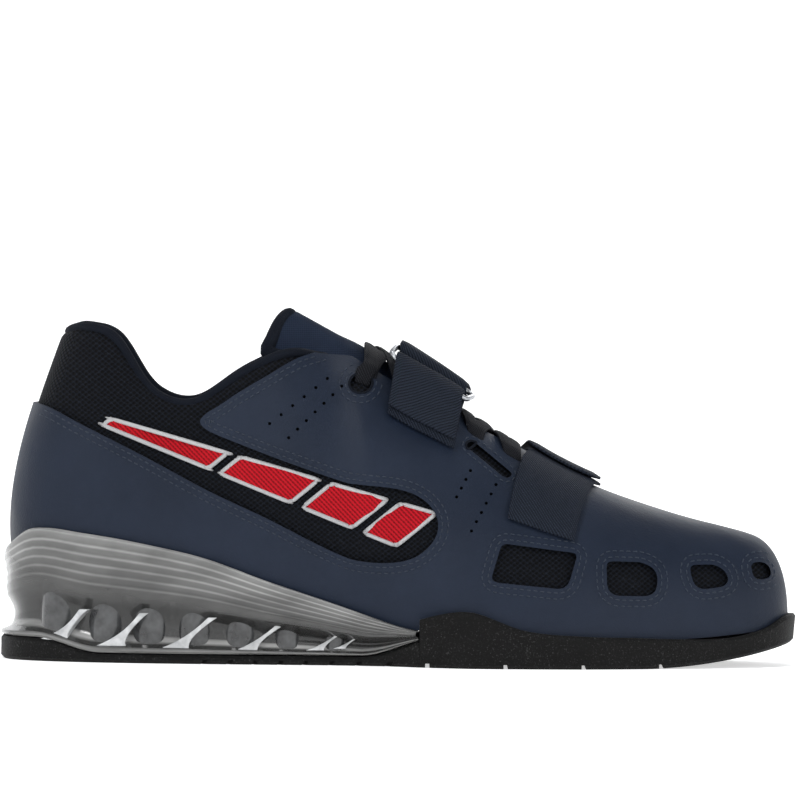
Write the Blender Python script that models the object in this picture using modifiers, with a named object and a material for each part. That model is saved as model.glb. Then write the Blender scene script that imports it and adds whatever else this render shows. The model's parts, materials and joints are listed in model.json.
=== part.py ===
"""Weightlifting shoe for the right foot: hollow upper, leather shell, tongue, insole,
wedge with inner columns, rubber outsole, two straps with rings, and lacing.

Metres, +Z up, toe towards +X. The lateral side of this right shoe faces -Y.
The origin is on the floor under the middle of the shoe's bounding box.
"""

import math

import bmesh
import bpy
import numpy as np
from mathutils import Matrix, Vector

# Driving sizes.
LENGTH = 0.300
BALL_WIDTH = 0.110
COLLAR_HEIGHT = 0.1255
INSTEP_HEIGHT = 0.1190
TOE_HEIGHT = 0.0520
HEEL_BED = 0.030
BALL_BED = 0.0095
TOE_SPRING = 0.0090
BED_SPRING = 0.0050

# Walls, layers and clearances.
UPPER_WALL = 0.0022
COLLAR_WALL = 0.0050
LEATHER = 0.0013
LAYER_GAP = 0.0004
BED_GAP = 0.0010
BED_SOLID = 0.0020
SOLE_JOINT = 0.0005
SOLE_GAP = 0.0009
INSOLE_GAP = 0.0008
INSOLE_THICKNESS = 0.0040
INSOLE_BEVEL = 0.0010
TONGUE_THICKNESS = 0.0034
TONGUE_GAP = 0.0012
TONGUE_CREST = 0.0010
TONGUE_LEAN = 0.0160
TONGUE_TOP_SHARE = 0.58
TONGUE_RISE = 0.0165

# Sole.
CUP_WALL = 0.0024
RIM_WALL = 0.0020
RUBBER_PLATE = 0.0033
RUBBER_HEEL = 0.0086
RUBBER_STEP = 0.0105
EDGE_BEVEL = 0.0012
WAIST_DEPTH = 0.0065
CUP_INSET = 0.0020
WINDOW_LENGTH = 0.104
WINDOW_WIDTH = 0.030
WINDOW_CENTRE_X = -0.18 * LENGTH
WINDOW_CENTRE_Y = 0.001
CELL_DEPTH = 0.013
CELL_ROOF = 0.0040
COLUMN_RADIUS = 0.0068
COLUMN_COUNT = 5
GROOVE_DEPTH = 0.0016
GROOVE_WIDTH = 0.0016
GROOVE_PITCH = 0.0098
GROOVE_MARGIN = 0.0035
GROOVE_RUN = 0.77
CROSS_GROOVE_PITCH = 0.0292

# Straps, rings and laces.
STRAP_WIDTH = 0.0250
STRAP_THICKNESS = 0.0018
STRAP_GAP = 0.0006
RING_WIRE = 0.0010
RING_DEPTH = 0.0085
LACE_WIDTH = 0.0052
LACE_THICKNESS = 0.0016
FOLD_GAP = 0.0004
CREST_LIFT = 0.0040
STRAP_COLUMNS = 3
RING_SIDE_GAP = 0.0010
INSTEP_STRAP_SHARE = 0.547
INSTEP_LEAN = 0.014
INSTEP_BAR_SHARE = 0.90
FOREFOOT_STRAP_SHARE = 0.712
FOREFOOT_LEAN = 0.017
FOREFOOT_BAR_SHARE = 0.62
LACE_ROWS = 5
LACE_STEPS = 6
LACE_EDGE_SHARE = 0.70
LACE_FIRST_SHARE = 0.460
LACE_LAST_SHARE = 0.640

# Outline of the sole, from the middle of the heel round to the middle of the toe.
# Shares: x of LENGTH from the heel, the two half widths and the upper's inset of half BALL_WIDTH.
OUTLINE = [
    # x      lateral  medial  inset
    (0.002, 0.000, 0.000, 0.145),
    (0.012, 0.320, 0.315, 0.145),
    (0.045, 0.535, 0.535, 0.145),
    (0.103, 0.682, 0.700, 0.145),
    (0.177, 0.749, 0.773, 0.140),
    (0.257, 0.756, 0.775, 0.120),
    (0.337, 0.735, 0.745, 0.062),
    (0.413, 0.716, 0.715, 0.016),
    (0.480, 0.753, 0.730, -0.010),
    (0.533, 0.890, 0.815, 0.064),
    (0.590, 0.989, 0.960, 0.098),
    (0.660, 0.964, 1.033, 0.095),
    (0.730, 0.891, 1.035, 0.095),
    (0.800, 0.751, 0.996, 0.095),
    (0.863, 0.587, 0.927, 0.095),
    (0.918, 0.415, 0.833, 0.090),
    (0.962, 0.245, 0.698, 0.082),
    (0.990, 0.036, 0.509, 0.074),
    (1.000, -0.227, 0.227, 0.070),
]

# Top of the upper at the same stations: collar first, then the ridge of instep, vamp and toe.
# Shares: x of LENGTH, half width and middle of half BALL_WIDTH, height of the size it names.
TOPLINE = [
    # x     half   middle  height size
    (0.076, 0.000, 0.000, 0.985, "collar"),
    (0.083, 0.225, 0.000, 0.992, "collar"),
    (0.105, 0.395, 0.000, 0.998, "collar"),
    (0.142, 0.500, 0.000, 0.965, "collar"),
    (0.188, 0.560, 0.000, 0.815, "collar"),
    (0.243, 0.600, 0.000, 0.778, "collar"),
    (0.307, 0.610, 0.000, 0.873, "collar"),
    (0.372, 0.520, 0.000, 0.948, "collar"),
    (0.420, 0.000, 0.000, 1.000, "instep"),
    (0.480, 0.000, 0.000, 0.918, "instep"),
    (0.547, 0.000, 0.010, 0.828, "instep"),
    (0.617, 0.000, 0.027, 0.722, "instep"),
    (0.687, 0.000, 0.055, 0.615, "instep"),
    (0.750, 0.000, 0.091, 1.242, "toe"),
    (0.807, 0.000, 0.127, 1.125, "toe"),
    (0.853, 0.000, 0.164, 1.042, "toe"),
    (0.890, 0.000, 0.191, 0.987, "toe"),
    (0.915, 0.000, 0.209, 0.950, "toe"),
    (0.927, 0.000, 0.222, 0.930, "toe"),
]

# Cross section at the same stations. closed: 0 for a collar wall, 1 for an arched section.
# square: roundness of the arch, 2 for an ellipse. bulge: of half BALL_WIDTH.
# edge: share of the section at which the upper ends, under 1 along the throat.
SECTION = [
    # closed square bulge  edge
    (0.00, 2.2, 0.142, 1.00),
    (0.00, 2.2, 0.142, 1.00),
    (0.00, 2.2, 0.142, 1.00),
    (0.00, 2.2, 0.138, 1.00),
    (0.00, 2.2, 0.110, 1.00),
    (0.00, 2.2, 0.105, 1.00),
    (0.00, 2.2, 0.127, 1.00),
    (0.30, 2.3, 0.145, 0.97),
    (1.00, 2.25, 0.155, 0.79),
    (1.00, 2.05, 0.090, 0.78),
    (1.00, 1.95, 0.020, 0.79),
    (1.00, 1.92, 0.000, 0.83),
    (1.00, 1.95, 0.000, 1.00),
    (1.00, 2.05, 0.000, 1.00),
    (1.00, 2.15, 0.000, 1.00),
    (1.00, 2.25, 0.000, 1.00),
    (1.00, 2.35, 0.000, 1.00),
    (1.00, 2.40, 0.000, 1.00),
    (1.00, 2.40, 0.000, 1.00),
]

# Heights at the same stations, as shares of COLLAR_HEIGHT: the wedge's cup, which ends at
# the arch, and the rubber's rim, which starts there.
RIM = [
    # cup    lateral medial
    (0.318, 0.060, 0.060),
    (0.350, 0.060, 0.060),
    (0.397, 0.060, 0.060),
    (0.385, 0.060, 0.060),
    (0.358, 0.060, 0.060),
    (0.317, 0.060, 0.060),
    (0.250, 0.060, 0.060),
    (0.192, 0.060, 0.060),
    (0.141, 0.100, 0.100),
    (0.105, 0.146, 0.132),
    (0.100, 0.168, 0.150),
    (0.100, 0.114, 0.114),
    (0.100, 0.098, 0.098),
    (0.100, 0.093, 0.093),
    (0.100, 0.088, 0.088),
    (0.100, 0.091, 0.091),
    (0.100, 0.115, 0.110),
    (0.100, 0.152, 0.147),
    (0.100, 0.157, 0.157),
]

# Side outlines that are cut out of the leather. Shares: x of LENGTH from the heel, height of
# COLLAR_HEIGHT from the floor. The knit cut runs from the heel's corner round the band's front
# and back to the collar.
KNIT_CUT = [
    (-0.050, 0.768),
    (0.045, 0.768),
    (0.065, 0.754),
    (0.095, 0.718),
    (0.163, 0.639),
    (0.204, 0.589),
    (0.263, 0.516),
    (0.336, 0.437),
    (0.388, 0.375),
    (0.425, 0.334),
    (0.450, 0.315),
    (0.487, 0.310),
    (0.515, 0.322),
    (0.535, 0.352),
    (0.548, 0.398),
    (0.547, 0.452),
    (0.530, 0.500),
    (0.500, 0.529),
    (0.451, 0.542),
    (0.428, 0.551),
    (0.352, 0.612),
    (0.300, 0.658),
    (0.263, 0.693),
    (0.251, 0.720),
    (0.258, 0.745),
    (0.274, 0.769),
    (0.300, 0.812),
    (0.338, 0.867),
    (0.364, 0.905),
    (0.384, 0.925),
    (0.407, 0.938),
    (0.425, 1.150),
    (-0.050, 1.150),
]
STRAP_WINDOW = [
    (0.629, 0.372),
    (0.616, 0.267),
    (0.622, 0.256),
    (0.704, 0.237),
    (0.713, 0.252),
    (0.724, 0.343),
]
TOE_WINDOW_BACK = [
    (0.760, 0.311),
    (0.764, 0.320),
    (0.804, 0.317),
    (0.819, 0.300),
    (0.825, 0.274),
    (0.823, 0.231),
    (0.813, 0.216),
    (0.770, 0.218),
    (0.761, 0.239),
]
TOE_WINDOW_MIDDLE = [
    (0.866, 0.308),
    (0.897, 0.309),
    (0.911, 0.288),
    (0.915, 0.261),
    (0.909, 0.243),
    (0.882, 0.235),
    (0.872, 0.245),
    (0.866, 0.281),
]
TOE_WINDOW_FRONT = [
    (0.942, 0.312),
    (0.958, 0.316),
    (0.968, 0.300),
    (0.970, 0.270),
    (0.958, 0.262),
    (0.947, 0.266),
]
EYELET = [
    (0.436, 0.838),
    (0.440, 0.862),
    (0.450, 0.874),
    (0.461, 0.868),
    (0.466, 0.846),
    (0.462, 0.822),
    (0.452, 0.812),
    (0.441, 0.818),
]
LACE_SLOT = [
    (0.581, 0.660),
    (0.590, 0.676),
    (0.643, 0.574),
    (0.634, 0.560),
]
LEATHER_CUTS = {
    "knit": KNIT_CUT,
    "strap_window": STRAP_WINDOW,
    "toe_window_back": TOE_WINDOW_BACK,
    "toe_window_middle": TOE_WINDOW_MIDDLE,
    "toe_window_front": TOE_WINDOW_FRONT,
    "eyelet": EYELET,
    "lace_slot": LACE_SLOT,
}

LAST_STATION = len(OUTLINE) - 1
RING_LENGTH = 2 * LAST_STATION
WEDGE_FRONT = 8.9
TOE_SPRING_SHARE = 0.80
STATION_STEP = 0.5
UPPER_LEVELS = 8
THROAT_END = 11.9
TONGUE_TOP = 8.0
TONGUE_ROWS = 5
TONGUE_EDGE_SHARE = 0.62

HALF_BALL = BALL_WIDTH / 2
HEIGHTS = {"collar": COLLAR_HEIGHT, "instep": INSTEP_HEIGHT, "toe": TOE_HEIGHT}
LATERAL, MEDIAL = -1, 1


def clear_scene():
    for obj in list(bpy.data.objects):
        bpy.data.objects.remove(obj)


def collection(name):
    made = bpy.data.collections.new(name)
    bpy.context.scene.collection.children.link(made)
    return made


def material(name, colour, roughness, metallic=0.0, transmission=0.0):
    made = bpy.data.materials.new(name)
    made.use_nodes = True
    shader = made.node_tree.nodes["Principled BSDF"]
    shader.inputs["Base Color"].default_value = (*colour, 1)
    shader.inputs["Roughness"].default_value = roughness
    shader.inputs["Metallic"].default_value = metallic
    shader.inputs["Transmission Weight"].default_value = transmission
    return made


def smooth_step(value, low, high):
    """0 below low, 1 above high and an easy curve between them."""
    share = np.clip((np.asarray(value, float) - low) / (high - low), 0, 1)
    return share * share * (3 - 2 * share)


def ring_table(lateral_rows, medial_rows):
    """One closed ring of rows: heel, lateral side, toe, then the medial side back to the heel."""
    return np.array(list(lateral_rows) + list(medial_rows)[LAST_STATION - 1 : 0 : -1], float)


def on_ring(table, place):
    """A row of the closed ring at a place between stations, on a Catmull-Rom curve."""
    start = math.floor(place)
    t = place - start
    before, first, second, after = (table[(start + k) % RING_LENGTH] for k in (-1, 0, 1, 2))
    return 0.5 * (
        2 * first
        + (second - before) * t
        + (2 * before - 5 * first + 4 * second - after) * t**2
        + (3 * first - before - 3 * second + after) * t**3
    )


def x_of(share):
    return (share - 0.5) * LENGTH


OUTLINE_RING = ring_table(
    [(x_of(x), -lateral * HALF_BALL) for x, lateral, _, _ in OUTLINE],
    [(x_of(x), medial * HALF_BALL) for x, _, medial, _ in OUTLINE],
)
INSET_RING = ring_table(*[[(inset * HALF_BALL,) for _, _, _, inset in OUTLINE]] * 2)
TOP_RING = ring_table(
    *[
        [
            (x_of(x), middle * HALF_BALL, half * HALF_BALL, height * HEIGHTS[size])
            for x, half, middle, height, size in TOPLINE
        ]
    ]
    * 2
)
SECTION_RING = ring_table(*[SECTION] * 2)
CUP_RING = ring_table(*[[(cup * COLLAR_HEIGHT,) for cup, _, _ in RIM]] * 2)
RIM_RING = ring_table(
    [(lateral * COLLAR_HEIGHT,) for _, lateral, _ in RIM],
    [(medial * COLLAR_HEIGHT,) for _, _, medial in RIM],
)


WEDGE_END = on_ring(OUTLINE_RING, WEDGE_FRONT)[0]


def ring_place(side, station):
    return station if side == LATERAL else RING_LENGTH - station


def outline_point(side, station):
    return on_ring(OUTLINE_RING, ring_place(side, station))


def outward(side, station):
    """Unit vector in plan that leaves the sole's outline at a right angle."""
    step = 0.02
    place = ring_place(side, station)
    along = on_ring(OUTLINE_RING, place + step) - on_ring(OUTLINE_RING, place - step)
    along /= np.linalg.norm(along)
    return np.array((along[1], -along[0]))


def bed_height(x):
    """Footbed: level under the heel, sloping to the ball, and rising again at the toe."""
    slope = 1 - smooth_step(x, x_of(0.16), x_of(0.66))
    return BALL_BED + (HEEL_BED - BALL_BED) * slope + BED_SPRING * toe_rise(x)


def toe_rise(x):
    """0 up to the ball, then rising ever faster to 1 at the toe."""
    return np.clip((x - x_of(TOE_SPRING_SHARE)) / ((1 - TOE_SPRING_SHARE) * LENGTH), 0, 1) ** 2


def floor_height(x):
    """Height of the tread over the floor, which is the toe spring."""
    return TOE_SPRING * toe_rise(x)


def rim_height(side, station):
    return on_ring(RIM_RING, ring_place(side, station))[0]


def cup_height(station):
    return on_ring(CUP_RING, station)[0]


def rubber_height(x):
    """Top of the rubber under the wedge: thick at the heel's back, thin along the arch."""
    heel = (RUBBER_HEEL - RUBBER_PLATE) * (1 - smooth_step(x, x_of(0.045), x_of(0.13)))
    front = (RUBBER_STEP - RUBBER_PLATE) * smooth_step(x, x_of(0.455), x_of(0.545))
    return RUBBER_PLATE + heel + front


def body_point(side, station, share):
    """Point of the upper's outer face. share runs from the sole, 0, to the collar or ridge, 1."""
    place = ring_place(side, station)
    edge_xy = on_ring(OUTLINE_RING, place)
    out = outward(side, station)
    foot = edge_xy - out * on_ring(INSET_RING, place)[0]
    top_x, top_middle, top_half, top_z = on_ring(TOP_RING, place)
    top = np.array((top_x, top_middle + side * max(top_half, 0)))
    closed, square, bulge, _ = on_ring(SECTION_RING, place)
    closed = min(max(closed, 0), 1)
    angle = share * math.pi / 2
    power = 2 / square
    inward_share = closed * (1 - max(math.cos(angle), 0) ** power) + (1 - closed) * share
    upward_share = closed * math.sin(angle) ** power + (1 - closed) * share
    hump = math.sin(math.pi * share**0.75)
    plan = foot + (top - foot) * inward_share + out * max(bulge, 0) * HALF_BALL * hump
    low = bed_height(edge_xy[0]) + BED_GAP
    return np.array((*plan, low + (top_z - low) * upward_share))


def body_edge(station):
    """Share of the section at which the upper ends at this station."""
    return min(on_ring(SECTION_RING, station)[3], 1)


def body_plan_at(side, station, height, offset):
    """Plan point on the upper's outer face at a height, moved outward by the offset."""
    low, high = 0.0, 1.0
    for _ in range(18):
        middle = (low + high) / 2
        if body_point(side, station, middle)[2] < height:
            low = middle
        else:
            high = middle
    return body_point(side, station, low)[:2] + outward(side, station) * offset


def stations(first, last, step=STATION_STEP):
    count = max(round((last - first) / step), 1)
    return [first + (last - first) * k / count for k in range(count + 1)]


def new_object(name, mesh, group):
    obj = bpy.data.objects.new(name, mesh)
    group.objects.link(obj)
    return obj


def mesh_from(name, points, faces):
    mesh = bpy.data.meshes.new(name)
    mesh.from_pydata([tuple(map(float, p)) for p in points], [], faces)
    tidy = bmesh.new()
    tidy.from_mesh(mesh)
    bmesh.ops.remove_doubles(tidy, verts=tidy.verts, dist=1e-6)
    bmesh.ops.recalc_face_normals(tidy, faces=tidy.faces)
    bmesh.ops.triangulate(tidy, faces=tidy.faces, quad_method="SHORT_EDGE")
    tidy.to_mesh(mesh)
    tidy.free()
    return mesh


def smooth(obj, angle=40):
    obj.data.shade_smooth()
    obj.data.set_sharp_from_angle(angle=math.radians(angle))


def grid_faces(columns, rows):
    """Quads of a grid stored column after column."""
    faces = []
    for i in range(columns - 1):
        a, b = i * rows, (i + 1) * rows
        faces += [(a + j, b + j, b + j + 1, a + j + 1) for j in range(rows - 1)]
    return faces


def body_grid(name):
    """Open sheet of the upper's outer face, from the sole up to the collar, throat and ridge."""
    around = stations(0, LAST_STATION)
    path = [(LATERAL, s) for s in around] + [(MEDIAL, s) for s in reversed(around)]
    points = []
    for side, station in path:
        edge = body_edge(station)
        for level in range(UPPER_LEVELS + 1):
            points.append(body_point(side, station, edge * level / UPPER_LEVELS))
    return mesh_from(name, points, grid_faces(len(path), UPPER_LEVELS + 1))


def ring(samples, point):
    """Closed loop of points: point(side, station) up the lateral side and back down the medial."""
    return [point(LATERAL, s) for s in samples] + [point(MEDIAL, s) for s in reversed(samples)]


def clamp_behind(point):
    """Keeps a point of the wedge behind the rubber's step."""
    return (min(point[0], WEDGE_END - LAYER_GAP), *point[1:])


def clamp_step(station, point):
    """Keeps a point of the rubber on its own side of the step in front of the wedge."""
    limit = min if station <= WEDGE_FRONT else max
    return (limit(point[0], WEDGE_END), *point[1:])


def loft(name, rings, group):
    """Solid through rings of equal length, its two ends closed by rungs across the shoe."""
    size = len(rings[0])
    points = [point for loop in rings for point in loop]
    faces = []
    for k in range(len(rings) - 1):
        low, high = k * size, (k + 1) * size
        for j in range(size):
            step = (j + 1) % size
            faces.append((low + j, low + step, high + step, high + j))
    for start in (0, (len(rings) - 1) * size):
        for j in range(size // 2 - 1):
            faces.append(
                (start + j, start + j + 1, start + size - 2 - j, start + size - 1 - j)
            )
    return new_object(name, mesh_from(name, points, faces), group)


def prism(name, outline, low, high, group, upright=False):
    """Solid from a flat outline: in plan between two heights, or upright between two y values."""
    shape = bmesh.new()
    if upright:
        corners = [shape.verts.new((x, low, z)) for x, z in outline]
        along = (0, high - low, 0)
    else:
        corners = [shape.verts.new((x, y, low)) for x, y in outline]
        along = (0, 0, high - low)
    face = shape.faces.new(corners)
    raised = bmesh.ops.extrude_face_region(shape, geom=[face])["geom"]
    raised = [element for element in raised if isinstance(element, bmesh.types.BMVert)]
    bmesh.ops.translate(shape, verts=raised, vec=along)
    bmesh.ops.recalc_face_normals(shape, faces=shape.faces)
    mesh = bpy.data.meshes.new(name)
    shape.to_mesh(mesh)
    shape.free()
    return new_object(name, mesh, group)


def boolean(obj, other, operation):
    modifier = obj.modifiers.new(f"{operation.lower()}_{other.name}", "BOOLEAN")
    modifier.operation = operation
    modifier.object = other


def applied(obj):
    """Bakes the modifiers of an object into its mesh."""
    bpy.context.view_layer.update()
    graph = bpy.context.evaluated_depsgraph_get()
    mesh = bpy.data.meshes.new_from_object(obj.evaluated_get(graph))
    obj.modifiers.clear()
    obj.data = mesh
    return obj


def as_cutter(obj):
    obj.hide_render = True
    obj.display_type = "WIRE"
    return obj


def stadium(length, width, centre_x, centre_y, corner_steps=8):
    """Outline with straight sides and round ends, in plan."""
    radius = width / 2
    outline = []
    for end in (1, -1):
        for k in range(corner_steps + 1):
            angle = math.pi * (k / corner_steps - 0.5) + (0 if end > 0 else math.pi)
            middle = centre_x + end * (length / 2 - radius)
            outline.append(
                (middle + radius * math.cos(angle), centre_y + radius * math.sin(angle))
            )
    return outline


def inner_plan(side, station, height):
    """Inner face of the cup or rim: clear of the leather by the sole's gap."""
    past = station - WEDGE_FRONT
    corner = max(3.5 - 4 * past, 0) * SOLE_GAP if past > 0 else 0
    return body_plan_at(side, station, height, LEATHER + LAYER_GAP + SOLE_GAP + corner)


def rubber_inside(side, station):
    """Top of the rubber inside its outline: under the wedge, or as the forefoot's bed."""
    x = outline_point(side, station)[0]
    if station <= WEDGE_FRONT:
        return min(rubber_height(x), bed_height(x) - BED_SOLID)
    return bed_height(x)


def outset_plan(side, station, inset):
    return outline_point(side, station) - outward(side, station) * inset


def sole_samples():
    """Stations of the outsole, with two close ones at the step in front of the wedge."""
    step = [WEDGE_FRONT, WEDGE_FRONT + 0.04]
    return stations(0, 8.5) + step + stations(9.5, LAST_STATION)


def shell_plan(side, station, height, inset, wall):
    """Outer face of cup or rim: inside the outline by inset, yet a wall outside the leather."""
    edge = outline_point(side, station)
    out = outward(side, station)
    reach = float((inner_plan(side, station, height) - edge) @ out) + wall
    return edge + out * max(-inset, reach)


def make_outsole(group, cutters):
    def rim_top(side, station):
        if station <= WEDGE_FRONT:
            return rubber_height(outline_point(side, station)[0])
        return rim_height(side, station)

    def ground(side, station):
        return floor_height(outline_point(side, station)[0])

    def upper_edge(side, station, drop, inset):
        height = rim_top(side, station) - drop
        if station <= WEDGE_FRONT:
            plan = outset_plan(side, station, inset)
        else:
            plan = shell_plan(side, station, height, inset, RIM_WALL - inset)
        return clamp_step(station, (*plan, height))

    def inner_edge(side, station):
        height = rim_top(side, station)
        if station <= WEDGE_FRONT:
            plan = outset_plan(side, station, 4 * EDGE_BEVEL)
        else:
            plan = inner_plan(side, station, height)
        return clamp_step(station, (*plan, height))

    def inner_bed(side, station):
        height = rubber_inside(side, station)
        if station <= WEDGE_FRONT:
            plan = outset_plan(side, station, 5 * EDGE_BEVEL)
        else:
            plan = inner_plan(side, station, height)
        return clamp_step(station, (*plan, height))

    def low_edge(side, station, rise, inset):
        plan = outset_plan(side, station, inset)
        return clamp_step(station, (*plan, ground(side, station) + rise))

    samples = sole_samples()
    rings = [
        ring(samples, lambda side, s: low_edge(side, s, 0, EDGE_BEVEL)),
        ring(samples, lambda side, s: low_edge(side, s, EDGE_BEVEL, 0)),
        ring(samples, lambda side, s: upper_edge(side, s, EDGE_BEVEL * 0.8, 0)),
        ring(samples, lambda side, s: upper_edge(side, s, 0, EDGE_BEVEL * 0.6)),
        ring(samples, inner_edge),
        ring(samples, inner_bed),
    ]
    outsole = loft("outsole", rings, group)
    window = stadium(WINDOW_LENGTH, WINDOW_WIDTH, WINDOW_CENTRE_X, WINDOW_CENTRE_Y)
    window_cutter = prism("window_cutter", window, -RUBBER_HEEL, 2 * RUBBER_HEEL, cutters)
    boolean(outsole, as_cutter(window_cutter), "DIFFERENCE")
    boolean(outsole, as_cutter(make_grooves(cutters)), "DIFFERENCE")
    return applied(outsole)


def make_grooves(cutters):
    """Slanted grooves beside the window and wide grooves across the forefoot."""
    boxes = []
    slant = math.radians(33)
    first = WINDOW_CENTRE_X - WINDOW_LENGTH / 2 + 0.18 * WINDOW_LENGTH
    count = int(GROOVE_RUN * WINDOW_LENGTH / GROOVE_PITCH)
    side_run = BALL_WIDTH * 0.30
    for side in (LATERAL, MEDIAL):
        for k in range(count):
            inner = WINDOW_CENTRE_Y + side * (WINDOW_WIDTH / 2 + GROOVE_MARGIN)
            length = side_run / math.cos(slant)
            middle_x = first + k * GROOVE_PITCH + math.tan(slant) * side_run / 2
            middle = (middle_x, inner + side * side_run / 2)
            boxes.append((middle, length, -side * slant))
    across = x_of(0.538)
    while across < x_of(0.90):
        boxes.append(((across, 0), BALL_WIDTH * 1.4, 0))
        across += CROSS_GROOVE_PITCH
    shape = bmesh.new()
    for (x, y), length, turn in boxes:
        top = GROOVE_DEPTH + floor_height(x)
        size = (GROOVE_WIDTH, length, 2 * GROOVE_DEPTH + top, 1)
        place = Matrix.Translation((x, y, top / 2 - GROOVE_DEPTH))
        turned = place @ Matrix.Rotation(turn, 4, "Z") @ Matrix.Diagonal(size)
        bmesh.ops.create_cube(shape, size=1, matrix=turned)
    mesh = bpy.data.meshes.new("groove_cutter")
    shape.to_mesh(mesh)
    shape.free()
    return new_object("groove_cutter", mesh, cutters)


def wedge_samples():
    return stations(0, 8.5) + [WEDGE_FRONT - 0.03]


def make_wedge(group, cutters):
    def base(side, station):
        return rubber_height(outline_point(side, station)[0]) + SOLE_JOINT

    def rise(side, station):
        return cup_height(station) - base(side, station)

    def outline_level(side, station, share, inset):
        height = base(side, station) + rise(side, station) * share
        return clamp_behind((*outset_plan(side, station, inset), height))

    def foot(side, station, inset):
        at_front = station == samples[-1]
        return outline_level(side, station, 0, EDGE_BEVEL if at_front else inset)

    def waist_level(side, station, share):
        depth = WAIST_DEPTH * min(rise(side, station) / (0.34 * COLLAR_HEIGHT), 1)
        return outline_level(side, station, share, depth)

    def cup_level(side, station, share, wall):
        height = base(side, station) + rise(side, station) * share
        return clamp_behind((*shell_plan(side, station, height, CUP_INSET, wall), height))

    def inside(side, station, height):
        return clamp_behind((*inner_plan(side, station, height), height))

    def bed(side, station):
        return bed_height(outline_point(side, station)[0])

    samples = wedge_samples()
    rings = [
        ring(samples, lambda side, s: foot(side, s, 5 * EDGE_BEVEL)),
        ring(samples, lambda side, s: foot(side, s, 4 * EDGE_BEVEL)),
        ring(samples, lambda side, s: foot(side, s, EDGE_BEVEL)),
        ring(samples, lambda side, s: outline_level(side, s, 0.05, 0)),
        ring(samples, lambda side, s: waist_level(side, s, 0.16)),
        ring(samples, lambda side, s: waist_level(side, s, 0.30)),
        ring(samples, lambda side, s: cup_level(side, s, 0.52, CUP_WALL)),
        ring(samples, lambda side, s: cup_level(side, s, 0.78, CUP_WALL)),
        ring(samples, lambda side, s: cup_level(side, s, 1.00, CUP_WALL * 0.6)),
        ring(samples, lambda side, s: inside(side, s, cup_height(s))),
        ring(samples, lambda side, s: inside(side, s, (cup_height(s) + bed(side, s)) / 2)),
        ring(samples, lambda side, s: inside(side, s, bed(side, s))),
    ]
    wedge = loft("wedge", rings, group)
    cells = make_cells(cutters)
    for k in range(COLUMN_COUNT):
        boolean(cells, as_cutter(make_column(k, cutters)), "DIFFERENCE")
    boolean(wedge, as_cutter(applied(cells)), "DIFFERENCE")
    return applied(wedge)


def cell_ceiling(x):
    """Top of the hollow under the wedge, which stays below the footbed."""
    return min(rubber_height(x) + CELL_DEPTH, bed_height(x) - CELL_ROOF)


def make_cells(group):
    outline = stadium(WINDOW_LENGTH, WINDOW_WIDTH, WINDOW_CENTRE_X, WINDOW_CENTRE_Y)
    size = len(outline)
    points = [(x, y, -RUBBER_HEEL) for x, y in outline]
    points += [(x, y, cell_ceiling(x)) for x, y in outline]
    faces = [(j, (j + 1) % size, size + (j + 1) % size, size + j) for j in range(size)]
    faces.append(tuple(range(size)))
    half = size // 2
    for j in range(half - 1):
        faces.append(
            (size + j, size + j + 1, 2 * size - 2 - j, 2 * size - 1 - j)
        )
    return new_object("cell_cutter", mesh_from("cell_cutter", points, faces), group)


def make_column(number, group):
    pitch = (WINDOW_LENGTH - 2 * COLUMN_RADIUS) / COLUMN_COUNT
    x = WINDOW_CENTRE_X + (number - (COLUMN_COUNT - 1) / 2) * pitch
    height = 0.4 * COLLAR_HEIGHT
    name = f"column_cutter_{number + 1}"
    shape = bmesh.new()
    bmesh.ops.create_cone(
        shape,
        cap_ends=True,
        segments=14,
        radius1=COLUMN_RADIUS,
        radius2=COLUMN_RADIUS,
        depth=height,
        matrix=Matrix.Translation((x, WINDOW_CENTRE_Y, RUBBER_PLATE + height / 2)),
    )
    mesh = bpy.data.meshes.new(name)
    shape.to_mesh(mesh)
    shape.free()
    return new_object(name, mesh, group)


def face_out(mesh):
    """Turns an open sheet's faces so that they look away from the middle of the shoe."""
    middle = Vector((0, 0, HEEL_BED))
    facing = sum((face.center - middle).dot(face.normal) * face.area for face in mesh.polygons)
    if facing < 0:
        mesh.flip_normals()
    return mesh


def offset_points(mesh, distance):
    """Moves each point of a sheet along its normal."""
    moved = [vertex.co + vertex.normal * distance for vertex in mesh.vertices]
    for vertex, place in zip(mesh.vertices, moved):
        vertex.co = place
    mesh.update()


def solidify(obj, thickness, outward_share):
    modifier = obj.modifiers.new("wall", "SOLIDIFY")
    modifier.thickness = thickness
    modifier.offset = outward_share
    modifier.use_even_offset = True
    return modifier


def wall_at(x, z):
    """Thickness of the upper: padded round the collar, thin elsewhere."""
    high = smooth_step(z, 0.50 * COLLAR_HEIGHT, 0.74 * COLLAR_HEIGHT)
    back = 1 - smooth_step(x, x_of(0.34), x_of(0.41))
    return UPPER_WALL + (COLLAR_WALL - UPPER_WALL) * float(high * back)


def make_upper(group):
    mesh = face_out(body_grid("upper"))
    upper = new_object("upper", mesh, group)
    padding = upper.vertex_groups.new(name="padding")
    for vertex in mesh.vertices:
        share = wall_at(vertex.co.x, vertex.co.z) / COLLAR_WALL
        padding.add([vertex.index], share, "REPLACE")
    wall = solidify(upper, COLLAR_WALL, -1)
    wall.vertex_group = "padding"
    return applied(upper)


def make_insole(group):
    samples = stations(0, LAST_STATION)
    lift = 2 * LAYER_GAP

    def edge(side, station, height, inset):
        x = outline_point(side, station)[0]
        z = bed_height(x) + height
        plan = body_plan_at(side, station, z, -(UPPER_WALL + LAYER_GAP + INSOLE_GAP + inset))
        return (*plan, z)

    rings = [
        ring(samples, lambda side, s: edge(side, s, lift, INSOLE_BEVEL)),
        ring(samples, lambda side, s: edge(side, s, lift + INSOLE_THICKNESS, 0)),
    ]
    return loft("insole", rings, group)


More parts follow.
